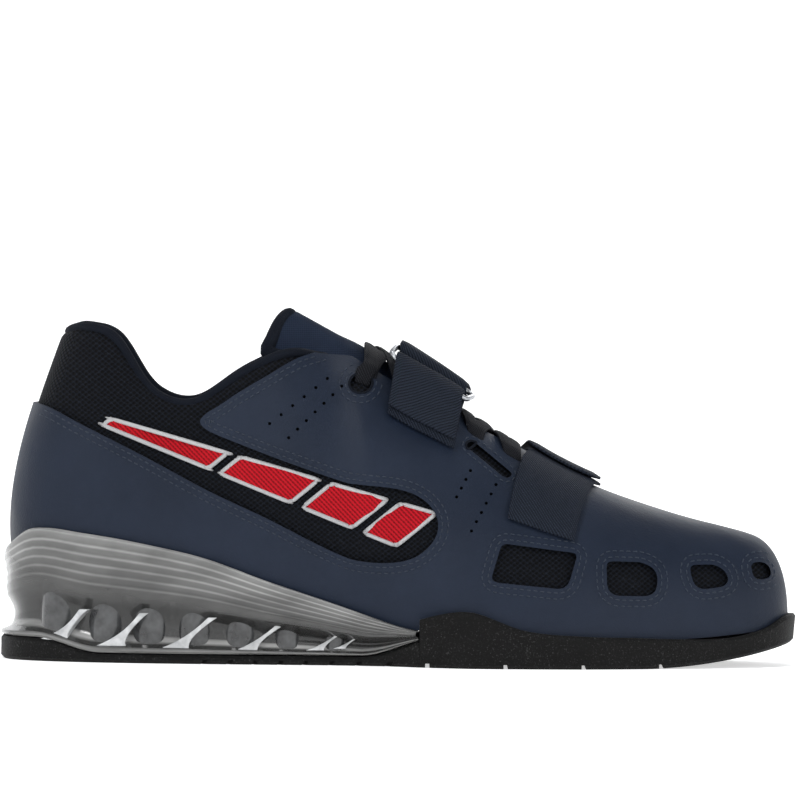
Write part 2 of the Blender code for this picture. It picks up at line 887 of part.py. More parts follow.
def sheet_normal(side, station, share):
    """Direction away from the foot on the upper's outer face."""
    step = 0.02
    high = min(share + step, 1)
    along = body_point(side, station + step, share) - body_point(side, station - step, share)
    upward = body_point(side, station, high) - body_point(side, station, share - step)
    normal = np.cross(along, upward) * -side
    return normal / np.linalg.norm(normal)


def station_at(side, share, x):
    """Station whose section passes x at this share of its height."""
    low, high = 6.0, 16.0
    for _ in range(20):
        middle = (low + high) / 2
        if body_point(side, middle, share)[0] < x:
            low = middle
        else:
            high = middle
    return low


def over_sheet(side, share, x, offset):
    """Point at x over the upper's outer face, as far off it as offset says."""
    at = x
    for _ in range(4):
        station = station_at(side, share, at)
        normal = sheet_normal(side, station, share)
        place = body_point(side, station, share) + normal * offset
        at += x - place[0]
    return place


def crest_lift(x, share):
    """How far the padded tongue pushes tongue, laces and strap up along the crest."""
    along = 1 - smooth_step(x, x_of(0.45), x_of(0.63))
    return CREST_LIFT * float(along * smooth_step(share, 0.74, 0.99))


def ribbon(name, rows, thickness, group):
    """Flat band through rows of points, thickened evenly to both sides."""
    grid = np.array(rows)
    along = np.gradient(grid, axis=0)
    across = np.gradient(grid, axis=1)
    normal = np.cross(along, across)
    normal /= np.linalg.norm(normal, axis=2)[:, :, None]
    count, width = grid.shape[:2]
    points = np.concatenate(
        ((grid + normal * thickness / 2).reshape(-1, 3), (grid - normal * thickness / 2).reshape(-1, 3))
    )
    size = count * width
    faces = []
    for i in range(count - 1):
        for j in range(width - 1):
            a = i * width + j
            faces.append((a, a + 1, a + width + 1, a + width))
            faces.append((size + a, size + a + width, size + a + width + 1, size + a + 1))
    border = [(i * width, (i + 1) * width) for i in range(count - 1)]
    border += [((count - 1) * width + j, (count - 1) * width + j + 1) for j in range(width - 1)]
    border += [((i + 1) * width - 1, i * width - 1) for i in range(count - 1, 0, -1)]
    border += [(j + 1, j) for j in range(width - 2, -1, -1)]
    faces += [(a, b, size + b, size + a) for a, b in border]
    return new_object(name, mesh_from(name, points, faces), group)


def strap_rows(path, width):
    """Rows across a strap; each path entry is side, share, middle x and a rule for the offset."""
    rows = []
    for side, share, x, offset in path:
        xs = [x + width * (k / STRAP_COLUMNS - 0.5) for k in range(STRAP_COLUMNS + 1)]
        rows.append([over_sheet(side, share, at, offset(at, share)) for at in xs])
    return rows


def make_leather(group, cutters):
    mesh = face_out(body_grid("leather_shell"))
    offset_points(mesh, LAYER_GAP)
    shell = new_object("leather_shell", mesh, group)
    solidify(shell, LEATHER, 1)
    applied(shell)
    for name, shares in LEATHER_CUTS.items():
        outline = [(x_of(x), z * COLLAR_HEIGHT) for x, z in shares]
        cutter = prism(f"{name}_cutter", outline, -BALL_WIDTH, BALL_WIDTH, cutters, upright=True)
        boolean(shell, as_cutter(cutter), "DIFFERENCE")
    return applied(shell)


def tongue_rib(station, raised=0.0):
    """Row over the foot's arch, under the throat's edges and up to the crest between them.

    raised moves it up and back out of the throat and draws it in, 1 for the tongue's top.
    """
    row = []
    for side in (LATERAL, MEDIAL):
        half = []
        for k in range(TONGUE_ROWS + (side == LATERAL)):
            share = TONGUE_EDGE_SHARE + (1 - TONGUE_EDGE_SHARE) * k / TONGUE_ROWS
            rise = float(smooth_step(share, min(body_edge(station) + 0.02, 0.97), 1.0))
            rise *= 1 - smooth_step(station, THROAT_END - 1.6, THROAT_END - 0.2)
            rise *= 1 - 0.9 * raised
            x, _, z = body_point(side, station, share)
            sink = wall_at(x, z) + TONGUE_GAP
            lift = -sink + (sink + TONGUE_CREST + crest_lift(x, share)) * rise
            place = body_point(side, station, share) + sheet_normal(side, station, share) * lift
            drawn_in = 1 - (1 - TONGUE_TOP_SHARE) * raised**0.4
            place *= (1, drawn_in, 1)
            half.append(place + np.array((-TONGUE_LEAN, 0, TONGUE_RISE)) * raised)
        row += half if side == LATERAL else half[::-1]
    return row


def make_tongue(group):
    rows = [
        tongue_rib(TONGUE_TOP, 1.0),
        tongue_rib(TONGUE_TOP, 0.5),
    ]
    rows += [tongue_rib(station) for station in stations(TONGUE_TOP, THROAT_END + 0.6)]
    points = [point for row in rows for point in row]
    mesh = face_out(mesh_from("tongue", points, grid_faces(len(rows), len(rows[0]))))
    tongue = new_object("tongue", mesh, group)
    solidify(tongue, TONGUE_THICKNESS, -1)
    return applied(tongue)


def strap_base(stack):
    """Rule for a strap's offset from the sheet; stack is what lies under it at the crest."""
    low = LEATHER + LAYER_GAP + STRAP_GAP + STRAP_THICKNESS / 2

    def rule(x, share):
        return low + stack * float(smooth_step(share, 0.55, 0.78)) + crest_lift(x, share)

    return rule


def bar_scale(side, share, x):
    """Metres along the sheet for one unit of share at this place."""
    step = 0.02
    station = station_at(side, share, x)
    low, high = (body_point(side, station, share + k * step) for k in (-1, 1))
    return float(np.linalg.norm(high - low)) / (2 * step)


def lean_x(middle, lean, share):
    """Middle of a strap at a share: it leans back as it comes down from the crest."""
    return middle - lean * (1 - share)


def looped_band(name, side, bar, ends, middle, lean, rule, down, group):
    """Band folded round a ring's bar. ends are its lower and upper layers' far ends.

    down is 1 for a strap that comes from the crest and -1 for a tab from below. An end is a
    side and share, and a way over the crest goes through the ridge at share 1.
    """
    radius = RING_WIRE + FOLD_GAP + STRAP_THICKNESS / 2
    scale = bar_scale(side, bar, lean_x(middle, lean, bar))
    spread = 3.5 * radius / scale

    def layer(end_side, end_share):
        places = [(side, bar + down * spread * k) for k in (0.5, 1.0, 1.6)]
        if end_side == side:
            last = places[-1][1]
            count = max(round(abs(end_share - last) / 0.09), 1)
            return places + [
                (side, last + (end_share - last) * k / count) for k in range(1, count + 1)
            ]
        places = [(at, share) for at, share in places if share < 0.97]
        last = places[-1][1]
        count = max(round((1 - last) / 0.09), 1)
        places += [(side, last + (1 - last) * k / count) for k in range(1, count + 1)]
        count = max(round((1 - end_share) / 0.09), 1)
        return places + [
            (end_side, 1 - (1 - end_share) * k / count) for k in range(1, count + 1)
        ]

    def entry(place, upper):
        at_side, share = place
        distance = abs(share - bar) if at_side == side else 1 + abs(share - bar)
        part_way = 1 - float(smooth_step(distance, 0, 1.6 * spread))
        gap = STRAP_THICKNESS + LAYER_GAP
        rise = (gap + (2 * radius - gap) * part_way) * upper

        def offset(x, s):
            return rule(x, s) + rise

        return (at_side, share, lean_x(middle, lean, share), offset)

    lower = [entry(place, 0) for place in layer(*ends[0])][::-1]
    upper = [entry(place, 1) for place in layer(*ends[1])]
    turns = []
    for degrees in (-90, -45, 0, 45, 90):
        turn = math.radians(degrees)
        share = bar - down * radius * math.cos(turn) / scale
        rise = radius * (1 + math.sin(turn))

        def offset(x, s, rise=rise):
            return rule(x, bar) + rise

        turns.append((side, share, lean_x(middle, lean, share), offset))
    rows = strap_rows(lower + turns + upper, STRAP_WIDTH)
    return ribbon(name, rows, STRAP_THICKNESS, group)


def wire_loop(name, path, radius, group):
    """Closed loop of round wire through the points of a path."""
    curve = bpy.data.curves.new(name, "CURVE")
    curve.dimensions = "3D"
    curve.bevel_depth = radius
    curve.bevel_resolution = 1
    loop = curve.splines.new("POLY")
    loop.points.add(len(path) - 1)
    for point, place in zip(loop.points, path):
        point.co = (*place, 1)
    loop.use_cyclic_u = True
    return new_object(name, curve, group)


def make_ring(name, side, bars, middle, lean, rule, group):
    """Wire ring with one bar in the strap's fold and one in the tab's."""
    radius = RING_WIRE + FOLD_GAP + STRAP_THICKNESS / 2
    reach = STRAP_WIDTH / 2 + RING_WIRE + RING_SIDE_GAP
    corner = 2.2 * RING_WIRE
    path = []
    for bar, way in zip(bars, (1, -1)):
        inward = (bars[1] - bars[0]) * way
        corner_share = abs(inward) * 0.26 * (1 if inward > 0 else -1)
        run = [-reach, -reach + corner * 0.3, -reach + corner, -reach / 3, reach / 3]
        run += [reach - corner, reach - corner * 0.3, reach]
        shares = [1, 0.3, 0, 0, 0, 0, 0.3, 1]
        for x, part_way in zip(run, shares):
            share = bar + corner_share * part_way
            at = lean_x(middle, lean, bar) + x * way
            path.append(over_sheet(side, share, at, rule(at, share) + radius))
    return wire_loop(name, path, RING_WIRE, group)


def make_straps(group):
    instep_rule = strap_base(1.7 * LACE_THICKNESS + LAYER_GAP)
    front_rule = strap_base(0)
    instep_x, front_x = x_of(INSTEP_STRAP_SHARE), x_of(FOREFOOT_STRAP_SHARE)

    def second_bar(side, bar, middle, lean):
        return bar - RING_DEPTH / bar_scale(side, bar, lean_x(middle, lean, bar))

    instep_bars = (INSTEP_BAR_SHARE, second_bar(LATERAL, INSTEP_BAR_SHARE, instep_x, INSTEP_LEAN))
    front_bars = (FOREFOOT_BAR_SHARE, second_bar(MEDIAL, FOREFOOT_BAR_SHARE, front_x, FOREFOOT_LEAN))
    instep = (instep_x, INSTEP_LEAN, instep_rule)
    front = (front_x, FOREFOOT_LEAN, front_rule)
    return [
        looped_band(
            "instep_strap", LATERAL, instep_bars[0], ((MEDIAL, 0.34), (MEDIAL, 0.66)),
            *instep, 1, group,
        ),
        looped_band(
            "instep_tab", LATERAL, instep_bars[1], ((LATERAL, 0.56), (LATERAL, 0.58)),
            *instep, -1, group,
        ),
        make_ring("instep_ring", LATERAL, instep_bars, *instep, group),
        looped_band(
            "forefoot_strap", MEDIAL, front_bars[0], ((LATERAL, 0.39), (LATERAL, 0.88)),
            *front, 1, group,
        ),
        looped_band(
            "forefoot_tab", MEDIAL, front_bars[1], ((MEDIAL, 0.26), (MEDIAL, 0.28)),
            *front, -1, group,
        ),
        make_ring("forefoot_ring", MEDIAL, front_bars, *front, group),
    ]


def lace_rows(start, end, raised):
    """Ribbon from one lace row's lateral end to another row's medial end."""
    rows = []
    for k in range(LACE_STEPS + 1):
        part_way = k / LACE_STEPS
        side = LATERAL if part_way <= 0.5 else MEDIAL
        share = 1 - (1 - LACE_EDGE_SHARE) * abs(2 * part_way - 1)
        middle = start + (end - start) * part_way + raised / 3
        hump = raised * (0.4 + 0.6 * float(smooth_step(share, 0.80, 0.97)))
        row = []
        for x in (middle - LACE_WIDTH / 2, middle + LACE_WIDTH / 2):
            lift = LEATHER + 2 * LAYER_GAP + LACE_THICKNESS / 2 + hump + crest_lift(x, share)
            row.append(over_sheet(side, share, x, lift))
        rows.append(row)
    return rows


def make_lacing(group, cutters):
    step = (x_of(LACE_LAST_SHARE) - x_of(LACE_FIRST_SHARE)) / (LACE_ROWS - 1)
    places = [x_of(LACE_FIRST_SHARE) + step * k for k in range(LACE_ROWS)]
    raised = 0.7 * LACE_THICKNESS
    front = places[-1] + LACE_WIDTH / 5
    lacing = ribbon("lacing", lace_rows(front, front, raised / 2), LACE_THICKNESS, group)
    for k in range(LACE_ROWS - 1):
        for name, start, end, hump in (
            ("up", places[k], places[k + 1], 0),
            ("down", places[k + 1], places[k], raised),
        ):
            row = ribbon(
                f"lace_{name}_{k + 1}", lace_rows(start, end, hump), LACE_THICKNESS, cutters
            )
            boolean(lacing, as_cutter(row), "UNION")
    return applied(lacing)


def material_set():
    return {
        "outsole": material("rubber", (0.012, 0.012, 0.014), 0.75),
        "wedge": material("translucent_wedge", (0.30, 0.33, 0.38), 0.25, transmission=0.5),
        "upper": material("knit", (0.015, 0.018, 0.028), 0.9),
        "leather_shell": material("coated_leather", (0.020, 0.028, 0.050), 0.45),
        "tongue": material("tongue_cloth", (0.016, 0.020, 0.034), 0.9),
        "insole": material("insole_cloth", (0.03, 0.03, 0.035), 0.9),
        "instep_strap": material("strap_webbing", (0.014, 0.017, 0.026), 0.8),
        "forefoot_strap": material("strap_webbing_front", (0.014, 0.017, 0.026), 0.8),
        "instep_tab": material("tab_webbing", (0.016, 0.019, 0.030), 0.8),
        "forefoot_tab": material("tab_webbing_front", (0.016, 0.019, 0.030), 0.8),
        "instep_ring": material("polished_steel", (0.70, 0.71, 0.73), 0.2, metallic=1.0),
        "forefoot_ring": material("polished_steel_front", (0.70, 0.71, 0.73), 0.2, metallic=1.0),
        "lacing": material("lace_cord", (0.012, 0.012, 0.016), 0.9),
    }


def main():
    clear_scene()
    shoe = collection("weightlifting_shoe")
    cutters = collection("cutters")
    pieces = [
        make_outsole(shoe, cutters),
        make_wedge(shoe, cutters),
        make_upper(shoe),
        make_leather(shoe, cutters),
        make_tongue(shoe),
        make_insole(shoe),
        make_lacing(shoe, cutters),
    ]
    pieces += make_straps(shoe)
    materials = material_set()
    for piece in pieces:
        piece.data.materials.clear()
        piece.data.materials.append(materials[piece.name])
        if piece.type == "MESH":
            smooth(piece)


main()
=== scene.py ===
"""Looks of the weightlifting shoe: stitched leather over knit, webbing, lacing and sole.

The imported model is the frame. The first part repeats the shoe's sizes and sections, in
metres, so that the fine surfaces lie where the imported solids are.
"""

import json
import math

import bmesh
import bpy
import numpy as np
from mathutils import Matrix, Vector
from mathutils.bvhtree import BVHTree

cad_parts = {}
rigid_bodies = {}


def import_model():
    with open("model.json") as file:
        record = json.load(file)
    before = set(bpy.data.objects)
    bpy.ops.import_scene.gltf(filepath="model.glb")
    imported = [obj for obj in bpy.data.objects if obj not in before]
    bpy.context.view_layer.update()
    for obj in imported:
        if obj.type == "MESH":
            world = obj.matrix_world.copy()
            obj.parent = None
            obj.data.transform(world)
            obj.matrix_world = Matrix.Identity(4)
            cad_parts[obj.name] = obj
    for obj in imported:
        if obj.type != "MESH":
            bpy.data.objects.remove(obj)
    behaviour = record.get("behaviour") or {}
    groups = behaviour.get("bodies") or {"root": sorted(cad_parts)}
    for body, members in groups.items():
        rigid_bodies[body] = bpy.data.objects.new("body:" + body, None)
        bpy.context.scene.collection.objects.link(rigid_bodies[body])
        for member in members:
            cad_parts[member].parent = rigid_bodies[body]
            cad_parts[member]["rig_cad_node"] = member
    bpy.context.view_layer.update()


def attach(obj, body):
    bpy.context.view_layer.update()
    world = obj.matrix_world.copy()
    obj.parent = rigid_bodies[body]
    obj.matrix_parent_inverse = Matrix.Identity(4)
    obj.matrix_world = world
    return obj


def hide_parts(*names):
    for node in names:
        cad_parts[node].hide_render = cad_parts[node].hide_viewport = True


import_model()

# Driving sizes.
LENGTH = 0.300
BALL_WIDTH = 0.110
COLLAR_HEIGHT = 0.1255
INSTEP_HEIGHT = 0.1190
TOE_HEIGHT = 0.0520
HEEL_BED = 0.030
BALL_BED = 0.0095
TOE_SPRING = 0.0090
BED_SPRING = 0.0050

# Walls, layers and clearances.
UPPER_WALL = 0.0022
COLLAR_WALL = 0.0050
LEATHER = 0.0013
LAYER_GAP = 0.0004
BED_GAP = 0.0010
BED_SOLID = 0.0020
SOLE_JOINT = 0.0005
SOLE_GAP = 0.0009
TONGUE_THICKNESS = 0.0034
TONGUE_GAP = 0.0012
TONGUE_CREST = 0.0010
TONGUE_LEAN = 0.0160
TONGUE_TOP_SHARE = 0.58
TONGUE_RISE = 0.0165

# Sole.
CUP_WALL = 0.0024
RIM_WALL = 0.0020
RUBBER_PLATE = 0.0033
RUBBER_HEEL = 0.0086
RUBBER_STEP = 0.0105
EDGE_BEVEL = 0.0012
WAIST_DEPTH = 0.0065
CUP_INSET = 0.0020
WINDOW_LENGTH = 0.104
WINDOW_WIDTH = 0.030
WINDOW_CENTRE_X = -0.18 * LENGTH
WINDOW_CENTRE_Y = 0.001
CELL_DEPTH = 0.013
CELL_ROOF = 0.0040
COLUMN_RADIUS = 0.0068
COLUMN_COUNT = 5
GROOVE_DEPTH = 0.0016
GROOVE_WIDTH = 0.0016
GROOVE_PITCH = 0.0098
GROOVE_MARGIN = 0.0035
GROOVE_RUN = 0.77
CROSS_GROOVE_PITCH = 0.0292

# Straps, rings and laces.
STRAP_WIDTH = 0.0250
STRAP_THICKNESS = 0.0018
STRAP_GAP = 0.0006
RING_WIRE = 0.0010
RING_DEPTH = 0.0085
LACE_WIDTH = 0.0052
LACE_THICKNESS = 0.0016
FOLD_GAP = 0.0004
CREST_LIFT = 0.0040
STRAP_COLUMNS = 3
RING_SIDE_GAP = 0.0010
INSTEP_STRAP_SHARE = 0.547
INSTEP_LEAN = 0.014
INSTEP_BAR_SHARE = 0.90
FOREFOOT_STRAP_SHARE = 0.712
FOREFOOT_LEAN = 0.017
FOREFOOT_BAR_SHARE = 0.62
LACE_ROWS = 5
LACE_EDGE_SHARE = 0.70
LACE_FIRST_SHARE = 0.460
LACE_LAST_SHARE = 0.640

# Outline of the sole, from the middle of the heel round to the middle of the toe.
# Shares: x of LENGTH from the heel, the two half widths and the upper's inset of half BALL_WIDTH.
OUTLINE = [
    # x      lateral  medial  inset
    (0.002, 0.000, 0.000, 0.145),
    (0.012, 0.320, 0.315, 0.145),
    (0.045, 0.535, 0.535, 0.145),
    (0.103, 0.682, 0.700, 0.145),
    (0.177, 0.749, 0.773, 0.140),
    (0.257, 0.756, 0.775, 0.120),
    (0.337, 0.735, 0.745, 0.062),
    (0.413, 0.716, 0.715, 0.016),
    (0.480, 0.753, 0.730, -0.010),
    (0.533, 0.890, 0.815, 0.064),
    (0.590, 0.989, 0.960, 0.098),
    (0.660, 0.964, 1.033, 0.095),
    (0.730, 0.891, 1.035, 0.095),
    (0.800, 0.751, 0.996, 0.095),
    (0.863, 0.587, 0.927, 0.095),
    (0.918, 0.415, 0.833, 0.090),
    (0.962, 0.245, 0.698, 0.082),
    (0.990, 0.036, 0.509, 0.074),
    (1.000, -0.227, 0.227, 0.070),
]

# Top of the upper at the same stations: collar first, then the ridge of instep, vamp and toe.
# Shares: x of LENGTH, half width and middle of half BALL_WIDTH, height of the size it names.
TOPLINE = [
    # x     half   middle  height size
    (0.076, 0.000, 0.000, 0.985, "collar"),
    (0.083, 0.225, 0.000, 0.992, "collar"),
    (0.105, 0.395, 0.000, 0.998, "collar"),
    (0.142, 0.500, 0.000, 0.965, "collar"),
    (0.188, 0.560, 0.000, 0.815, "collar"),
    (0.243, 0.600, 0.000, 0.778, "collar"),
    (0.307, 0.610, 0.000, 0.873, "collar"),
    (0.372, 0.520, 0.000, 0.948, "collar"),
    (0.420, 0.000, 0.000, 1.000, "instep"),
    (0.480, 0.000, 0.000, 0.918, "instep"),
    (0.547, 0.000, 0.010, 0.828, "instep"),
    (0.617, 0.000, 0.027, 0.722, "instep"),
    (0.687, 0.000, 0.055, 0.615, "instep"),
    (0.750, 0.000, 0.091, 1.242, "toe"),
    (0.807, 0.000, 0.127, 1.125, "toe"),
    (0.853, 0.000, 0.164, 1.042, "toe"),
    (0.890, 0.000, 0.191, 0.987, "toe"),
    (0.915, 0.000, 0.209, 0.950, "toe"),
    (0.927, 0.000, 0.222, 0.930, "toe"),
]

# Cross section at the same stations. closed: 0 for a collar wall, 1 for an arched section.
# square: roundness of the arch, 2 for an ellipse. bulge: of half BALL_WIDTH.
# edge: share of the section at which the upper ends, under 1 along the throat.
SECTION = [
    # closed square bulge  edge
    (0.00, 2.2, 0.142, 1.00),
    (0.00, 2.2, 0.142, 1.00),
    (0.00, 2.2, 0.142, 1.00),
    (0.00, 2.2, 0.138, 1.00),
    (0.00, 2.2, 0.110, 1.00),
    (0.00, 2.2, 0.105, 1.00),
    (0.00, 2.2, 0.127, 1.00),
    (0.30, 2.3, 0.145, 0.97),
    (1.00, 2.25, 0.155, 0.79),
    (1.00, 2.05, 0.090, 0.78),
    (1.00, 1.95, 0.020, 0.79),
    (1.00, 1.92, 0.000, 0.83),
    (1.00, 1.95, 0.000, 1.00),
    (1.00, 2.05, 0.000, 1.00),
    (1.00, 2.15, 0.000, 1.00),
    (1.00, 2.25, 0.000, 1.00),
    (1.00, 2.35, 0.000, 1.00),
    (1.00, 2.40, 0.000, 1.00),
    (1.00, 2.40, 0.000, 1.00),
]

# Heights at the same stations, as shares of COLLAR_HEIGHT: the wedge's cup, which ends at
# the arch, and the rubber's rim, which starts there.
RIM = [
    # cup    lateral medial
    (0.318, 0.060, 0.060),
    (0.350, 0.060, 0.060),
    (0.397, 0.060, 0.060),
    (0.385, 0.060, 0.060),
    (0.358, 0.060, 0.060),
    (0.317, 0.060, 0.060),
    (0.250, 0.060, 0.060),
    (0.192, 0.060, 0.060),
    (0.141, 0.100, 0.100),
    (0.105, 0.146, 0.132),
    (0.100, 0.168, 0.150),
    (0.100, 0.114, 0.114),
    (0.100, 0.098, 0.098),
    (0.100, 0.093, 0.093),
    (0.100, 0.088, 0.088),
    (0.100, 0.091, 0.091),
    (0.100, 0.115, 0.110),
    (0.100, 0.152, 0.147),
    (0.100, 0.157, 0.157),
]

# Side outlines that are cut out of the leather. Shares: x of LENGTH from the heel, height of
# COLLAR_HEIGHT from the floor. The knit cut runs from the heel's corner round the band's front
# and back to the collar.
KNIT_CUT = [
    (-0.050, 0.768),
    (0.045, 0.768),
    (0.065, 0.754),
    (0.095, 0.718),
    (0.163, 0.639),
    (0.204, 0.589),
    (0.263, 0.516),
    (0.336, 0.437),
    (0.388, 0.375),
    (0.425, 0.334),
    (0.450, 0.315),
    (0.487, 0.310),
    (0.515, 0.322),
    (0.535, 0.352),
    (0.548, 0.398),
    (0.547, 0.452),
    (0.530, 0.500),
    (0.500, 0.529),
    (0.451, 0.542),
    (0.428, 0.551),
    (0.352, 0.612),
    (0.300, 0.658),
    (0.263, 0.693),
    (0.251, 0.720),
    (0.258, 0.745),
    (0.274, 0.769),
    (0.300, 0.812),
    (0.338, 0.867),
    (0.364, 0.905),
    (0.384, 0.925),
    (0.407, 0.938),
    (0.425, 1.150),
    (-0.050, 1.150),
]
STRAP_WINDOW = [
    (0.629, 0.372),
    (0.616, 0.267),
    (0.622, 0.256),
    (0.704, 0.237),
    (0.713, 0.252),
    (0.724, 0.343),
]
TOE_WINDOW_BACK = [
    (0.760, 0.311),
    (0.764, 0.320),
    (0.804, 0.317),
    (0.819, 0.300),
    (0.825, 0.274),
    (0.823, 0.231),
    (0.813, 0.216),
    (0.770, 0.218),
    (0.761, 0.239),
]
TOE_WINDOW_MIDDLE = [
    (0.866, 0.308),
    (0.897, 0.309),
    (0.911, 0.288),
    (0.915, 0.261),
    (0.909, 0.243),
    (0.882, 0.235),
    (0.872, 0.245),
    (0.866, 0.281),
]
TOE_WINDOW_FRONT = [
    (0.942, 0.312),
    (0.958, 0.316),
    (0.968, 0.300),
    (0.970, 0.270),
    (0.958, 0.262),
    (0.947, 0.266),
]
EYELET = [
    (0.436, 0.838),
    (0.440, 0.862),
    (0.450, 0.874),
    (0.461, 0.868),
    (0.466, 0.846),
    (0.462, 0.822),
    (0.452, 0.812),
    (0.441, 0.818),
]
LACE_SLOT = [
    (0.581, 0.660),
    (0.590, 0.676),
    (0.643, 0.574),
    (0.634, 0.560),
]
LEATHER_CUTS = {
    "knit": KNIT_CUT,
    "strap_window": STRAP_WINDOW,
    "toe_window_back": TOE_WINDOW_BACK,
    "toe_window_middle": TOE_WINDOW_MIDDLE,
    "toe_window_front": TOE_WINDOW_FRONT,
    "eyelet": EYELET,
    "lace_slot": LACE_SLOT,
}

LAST_STATION = len(OUTLINE) - 1
RING_LENGTH = 2 * LAST_STATION
WEDGE_FRONT = 8.9
TOE_SPRING_SHARE = 0.80
STATION_STEP = 0.5
THROAT_END = 11.9
TONGUE_TOP = 8.0
TONGUE_ROWS = 5
TONGUE_EDGE_SHARE = 0.62

HALF_BALL = BALL_WIDTH / 2
HEIGHTS = {"collar": COLLAR_HEIGHT, "instep": INSTEP_HEIGHT, "toe": TOE_HEIGHT}
LATERAL, MEDIAL = -1, 1


def smooth_step(value, low, high):
    """0 below low, 1 above high and an easy curve between them."""
    share = np.clip((np.asarray(value, float) - low) / (high - low), 0, 1)
    return share * share * (3 - 2 * share)


def ring_table(lateral_rows, medial_rows):
    """One closed ring of rows: heel, lateral side, toe, then the medial side back to the heel."""
    return np.array(list(lateral_rows) + list(medial_rows)[LAST_STATION - 1 : 0 : -1], float)


def on_ring(table, place):
    """A row of the closed ring at a place between stations, on a Catmull-Rom curve."""
    start = math.floor(place)
    t = place - start
    before, first, second, after = (table[(start + k) % RING_LENGTH] for k in (-1, 0, 1, 2))
    return 0.5 * (
        2 * first
        + (second - before) * t
        + (2 * before - 5 * first + 4 * second - after) * t**2
        + (3 * first - before - 3 * second + after) * t**3
    )


def x_of(share):
    return (share - 0.5) * LENGTH


OUTLINE_RING = ring_table(
    [(x_of(x), -lateral * HALF_BALL) for x, lateral, _, _ in OUTLINE],
    [(x_of(x), medial * HALF_BALL) for x, _, medial, _ in OUTLINE],
)
INSET_RING = ring_table(*[[(inset * HALF_BALL,) for _, _, _, inset in OUTLINE]] * 2)
TOP_RING = ring_table(
    *[
        [
            (x_of(x), middle * HALF_BALL, half * HALF_BALL, height * HEIGHTS[size])
            for x, half, middle, height, size in TOPLINE
        ]
    ]
    * 2
)
SECTION_RING = ring_table(*[SECTION] * 2)
CUP_RING = ring_table(*[[(cup * COLLAR_HEIGHT,) for cup, _, _ in RIM]] * 2)
RIM_RING = ring_table(
    [(lateral * COLLAR_HEIGHT,) for _, lateral, _ in RIM],
    [(medial * COLLAR_HEIGHT,) for _, _, medial in RIM],
)


WEDGE_END = on_ring(OUTLINE_RING, WEDGE_FRONT)[0]


def ring_place(side, station):
    return station if side == LATERAL else RING_LENGTH - station


def outline_point(side, station):
    return on_ring(OUTLINE_RING, ring_place(side, station))


def outward(side, station):
    """Unit vector in plan that leaves the sole's outline at a right angle."""
    step = 0.02
    place = ring_place(side, station)
    along = on_ring(OUTLINE_RING, place + step) - on_ring(OUTLINE_RING, place - step)
    along /= np.linalg.norm(along)
    return np.array((along[1], -along[0]))


def bed_height(x):
    """Footbed: level under the heel, sloping to the ball, and rising again at the toe."""
    slope = 1 - smooth_step(x, x_of(0.16), x_of(0.66))
    return BALL_BED + (HEEL_BED - BALL_BED) * slope + BED_SPRING * toe_rise(x)


def toe_rise(x):
    """0 up to the ball, then rising ever faster to 1 at the toe."""
    return np.clip((x - x_of(TOE_SPRING_SHARE)) / ((1 - TOE_SPRING_SHARE) * LENGTH), 0, 1) ** 2


def floor_height(x):
    """Height of the tread over the floor, which is the toe spring."""
    return TOE_SPRING * toe_rise(x)


def rim_height(side, station):
    return on_ring(RIM_RING, ring_place(side, station))[0]


def cup_height(station):
    return on_ring(CUP_RING, station)[0]


def rubber_height(x):
    """Top of the rubber under the wedge: thick at the heel's back, thin along the arch."""
    heel = (RUBBER_HEEL - RUBBER_PLATE) * (1 - smooth_step(x, x_of(0.045), x_of(0.13)))
    front = (RUBBER_STEP - RUBBER_PLATE) * smooth_step(x, x_of(0.455), x_of(0.545))
    return RUBBER_PLATE + heel + front


def body_point(side, station, share):
    """Point of the upper's outer face. share runs from the sole, 0, to the collar or ridge, 1."""
    place = ring_place(side, station)
    edge_xy = on_ring(OUTLINE_RING, place)
    out = outward(side, station)
    foot = edge_xy - out * on_ring(INSET_RING, place)[0]
    top_x, top_middle, top_half, top_z = on_ring(TOP_RING, place)
    top = np.array((top_x, top_middle + side * max(top_half, 0)))
    closed, square, bulge, _ = on_ring(SECTION_RING, place)
    closed = min(max(closed, 0), 1)
    angle = share * math.pi / 2
    power = 2 / square
    inward_share = closed * (1 - max(math.cos(angle), 0) ** power) + (1 - closed) * share
    upward_share = closed * math.sin(angle) ** power + (1 - closed) * share
    hump = math.sin(math.pi * share**0.75)
    plan = foot + (top - foot) * inward_share + out * max(bulge, 0) * HALF_BALL * hump
    low = bed_height(edge_xy[0]) + BED_GAP
    return np.array((*plan, low + (top_z - low) * upward_share))


def body_edge(station):
    """Share of the section at which the upper ends at this station."""
    return min(on_ring(SECTION_RING, station)[3], 1)


def body_plan_at(side, station, height, offset):
    """Plan point on the upper's outer face at a height, moved outward by the offset."""
    low, high = 0.0, 1.0
    for _ in range(18):
        middle = (low + high) / 2
        if body_point(side, station, middle)[2] < height:
            low = middle
        else:
            high = middle
    return body_point(side, station, low)[:2] + outward(side, station) * offset


def stations(first, last, step=STATION_STEP):
    count = max(round((last - first) / step), 1)
    return [first + (last - first) * k / count for k in range(count + 1)]


def sheet_normal(side, station, share):
    """Direction away from the foot on the upper's outer face."""
    step = 0.02
    high = min(share + step, 1)
    along = body_point(side, station + step, share) - body_point(side, station - step, share)
    upward = body_point(side, station, high) - body_point(side, station, share - step)
    normal = np.cross(along, upward) * -side
    return normal / np.linalg.norm(normal)


def station_at(side, share, x):
    """Station whose section passes x at this share of its height."""
    low, high = 6.0, 16.0
    for _ in range(20):
        middle = (low + high) / 2
        if body_point(side, middle, share)[0] < x:
            low = middle
        else:
            high = middle
    return low


def over_sheet(side, share, x, offset):
    """Point at x over the upper's outer face, as far off it as offset says."""
    at = x
    for _ in range(4):
        station = station_at(side, share, at)
        normal = sheet_normal(side, station, share)
        place = body_point(side, station, share) + normal * offset
        at += x - place[0]
    return place


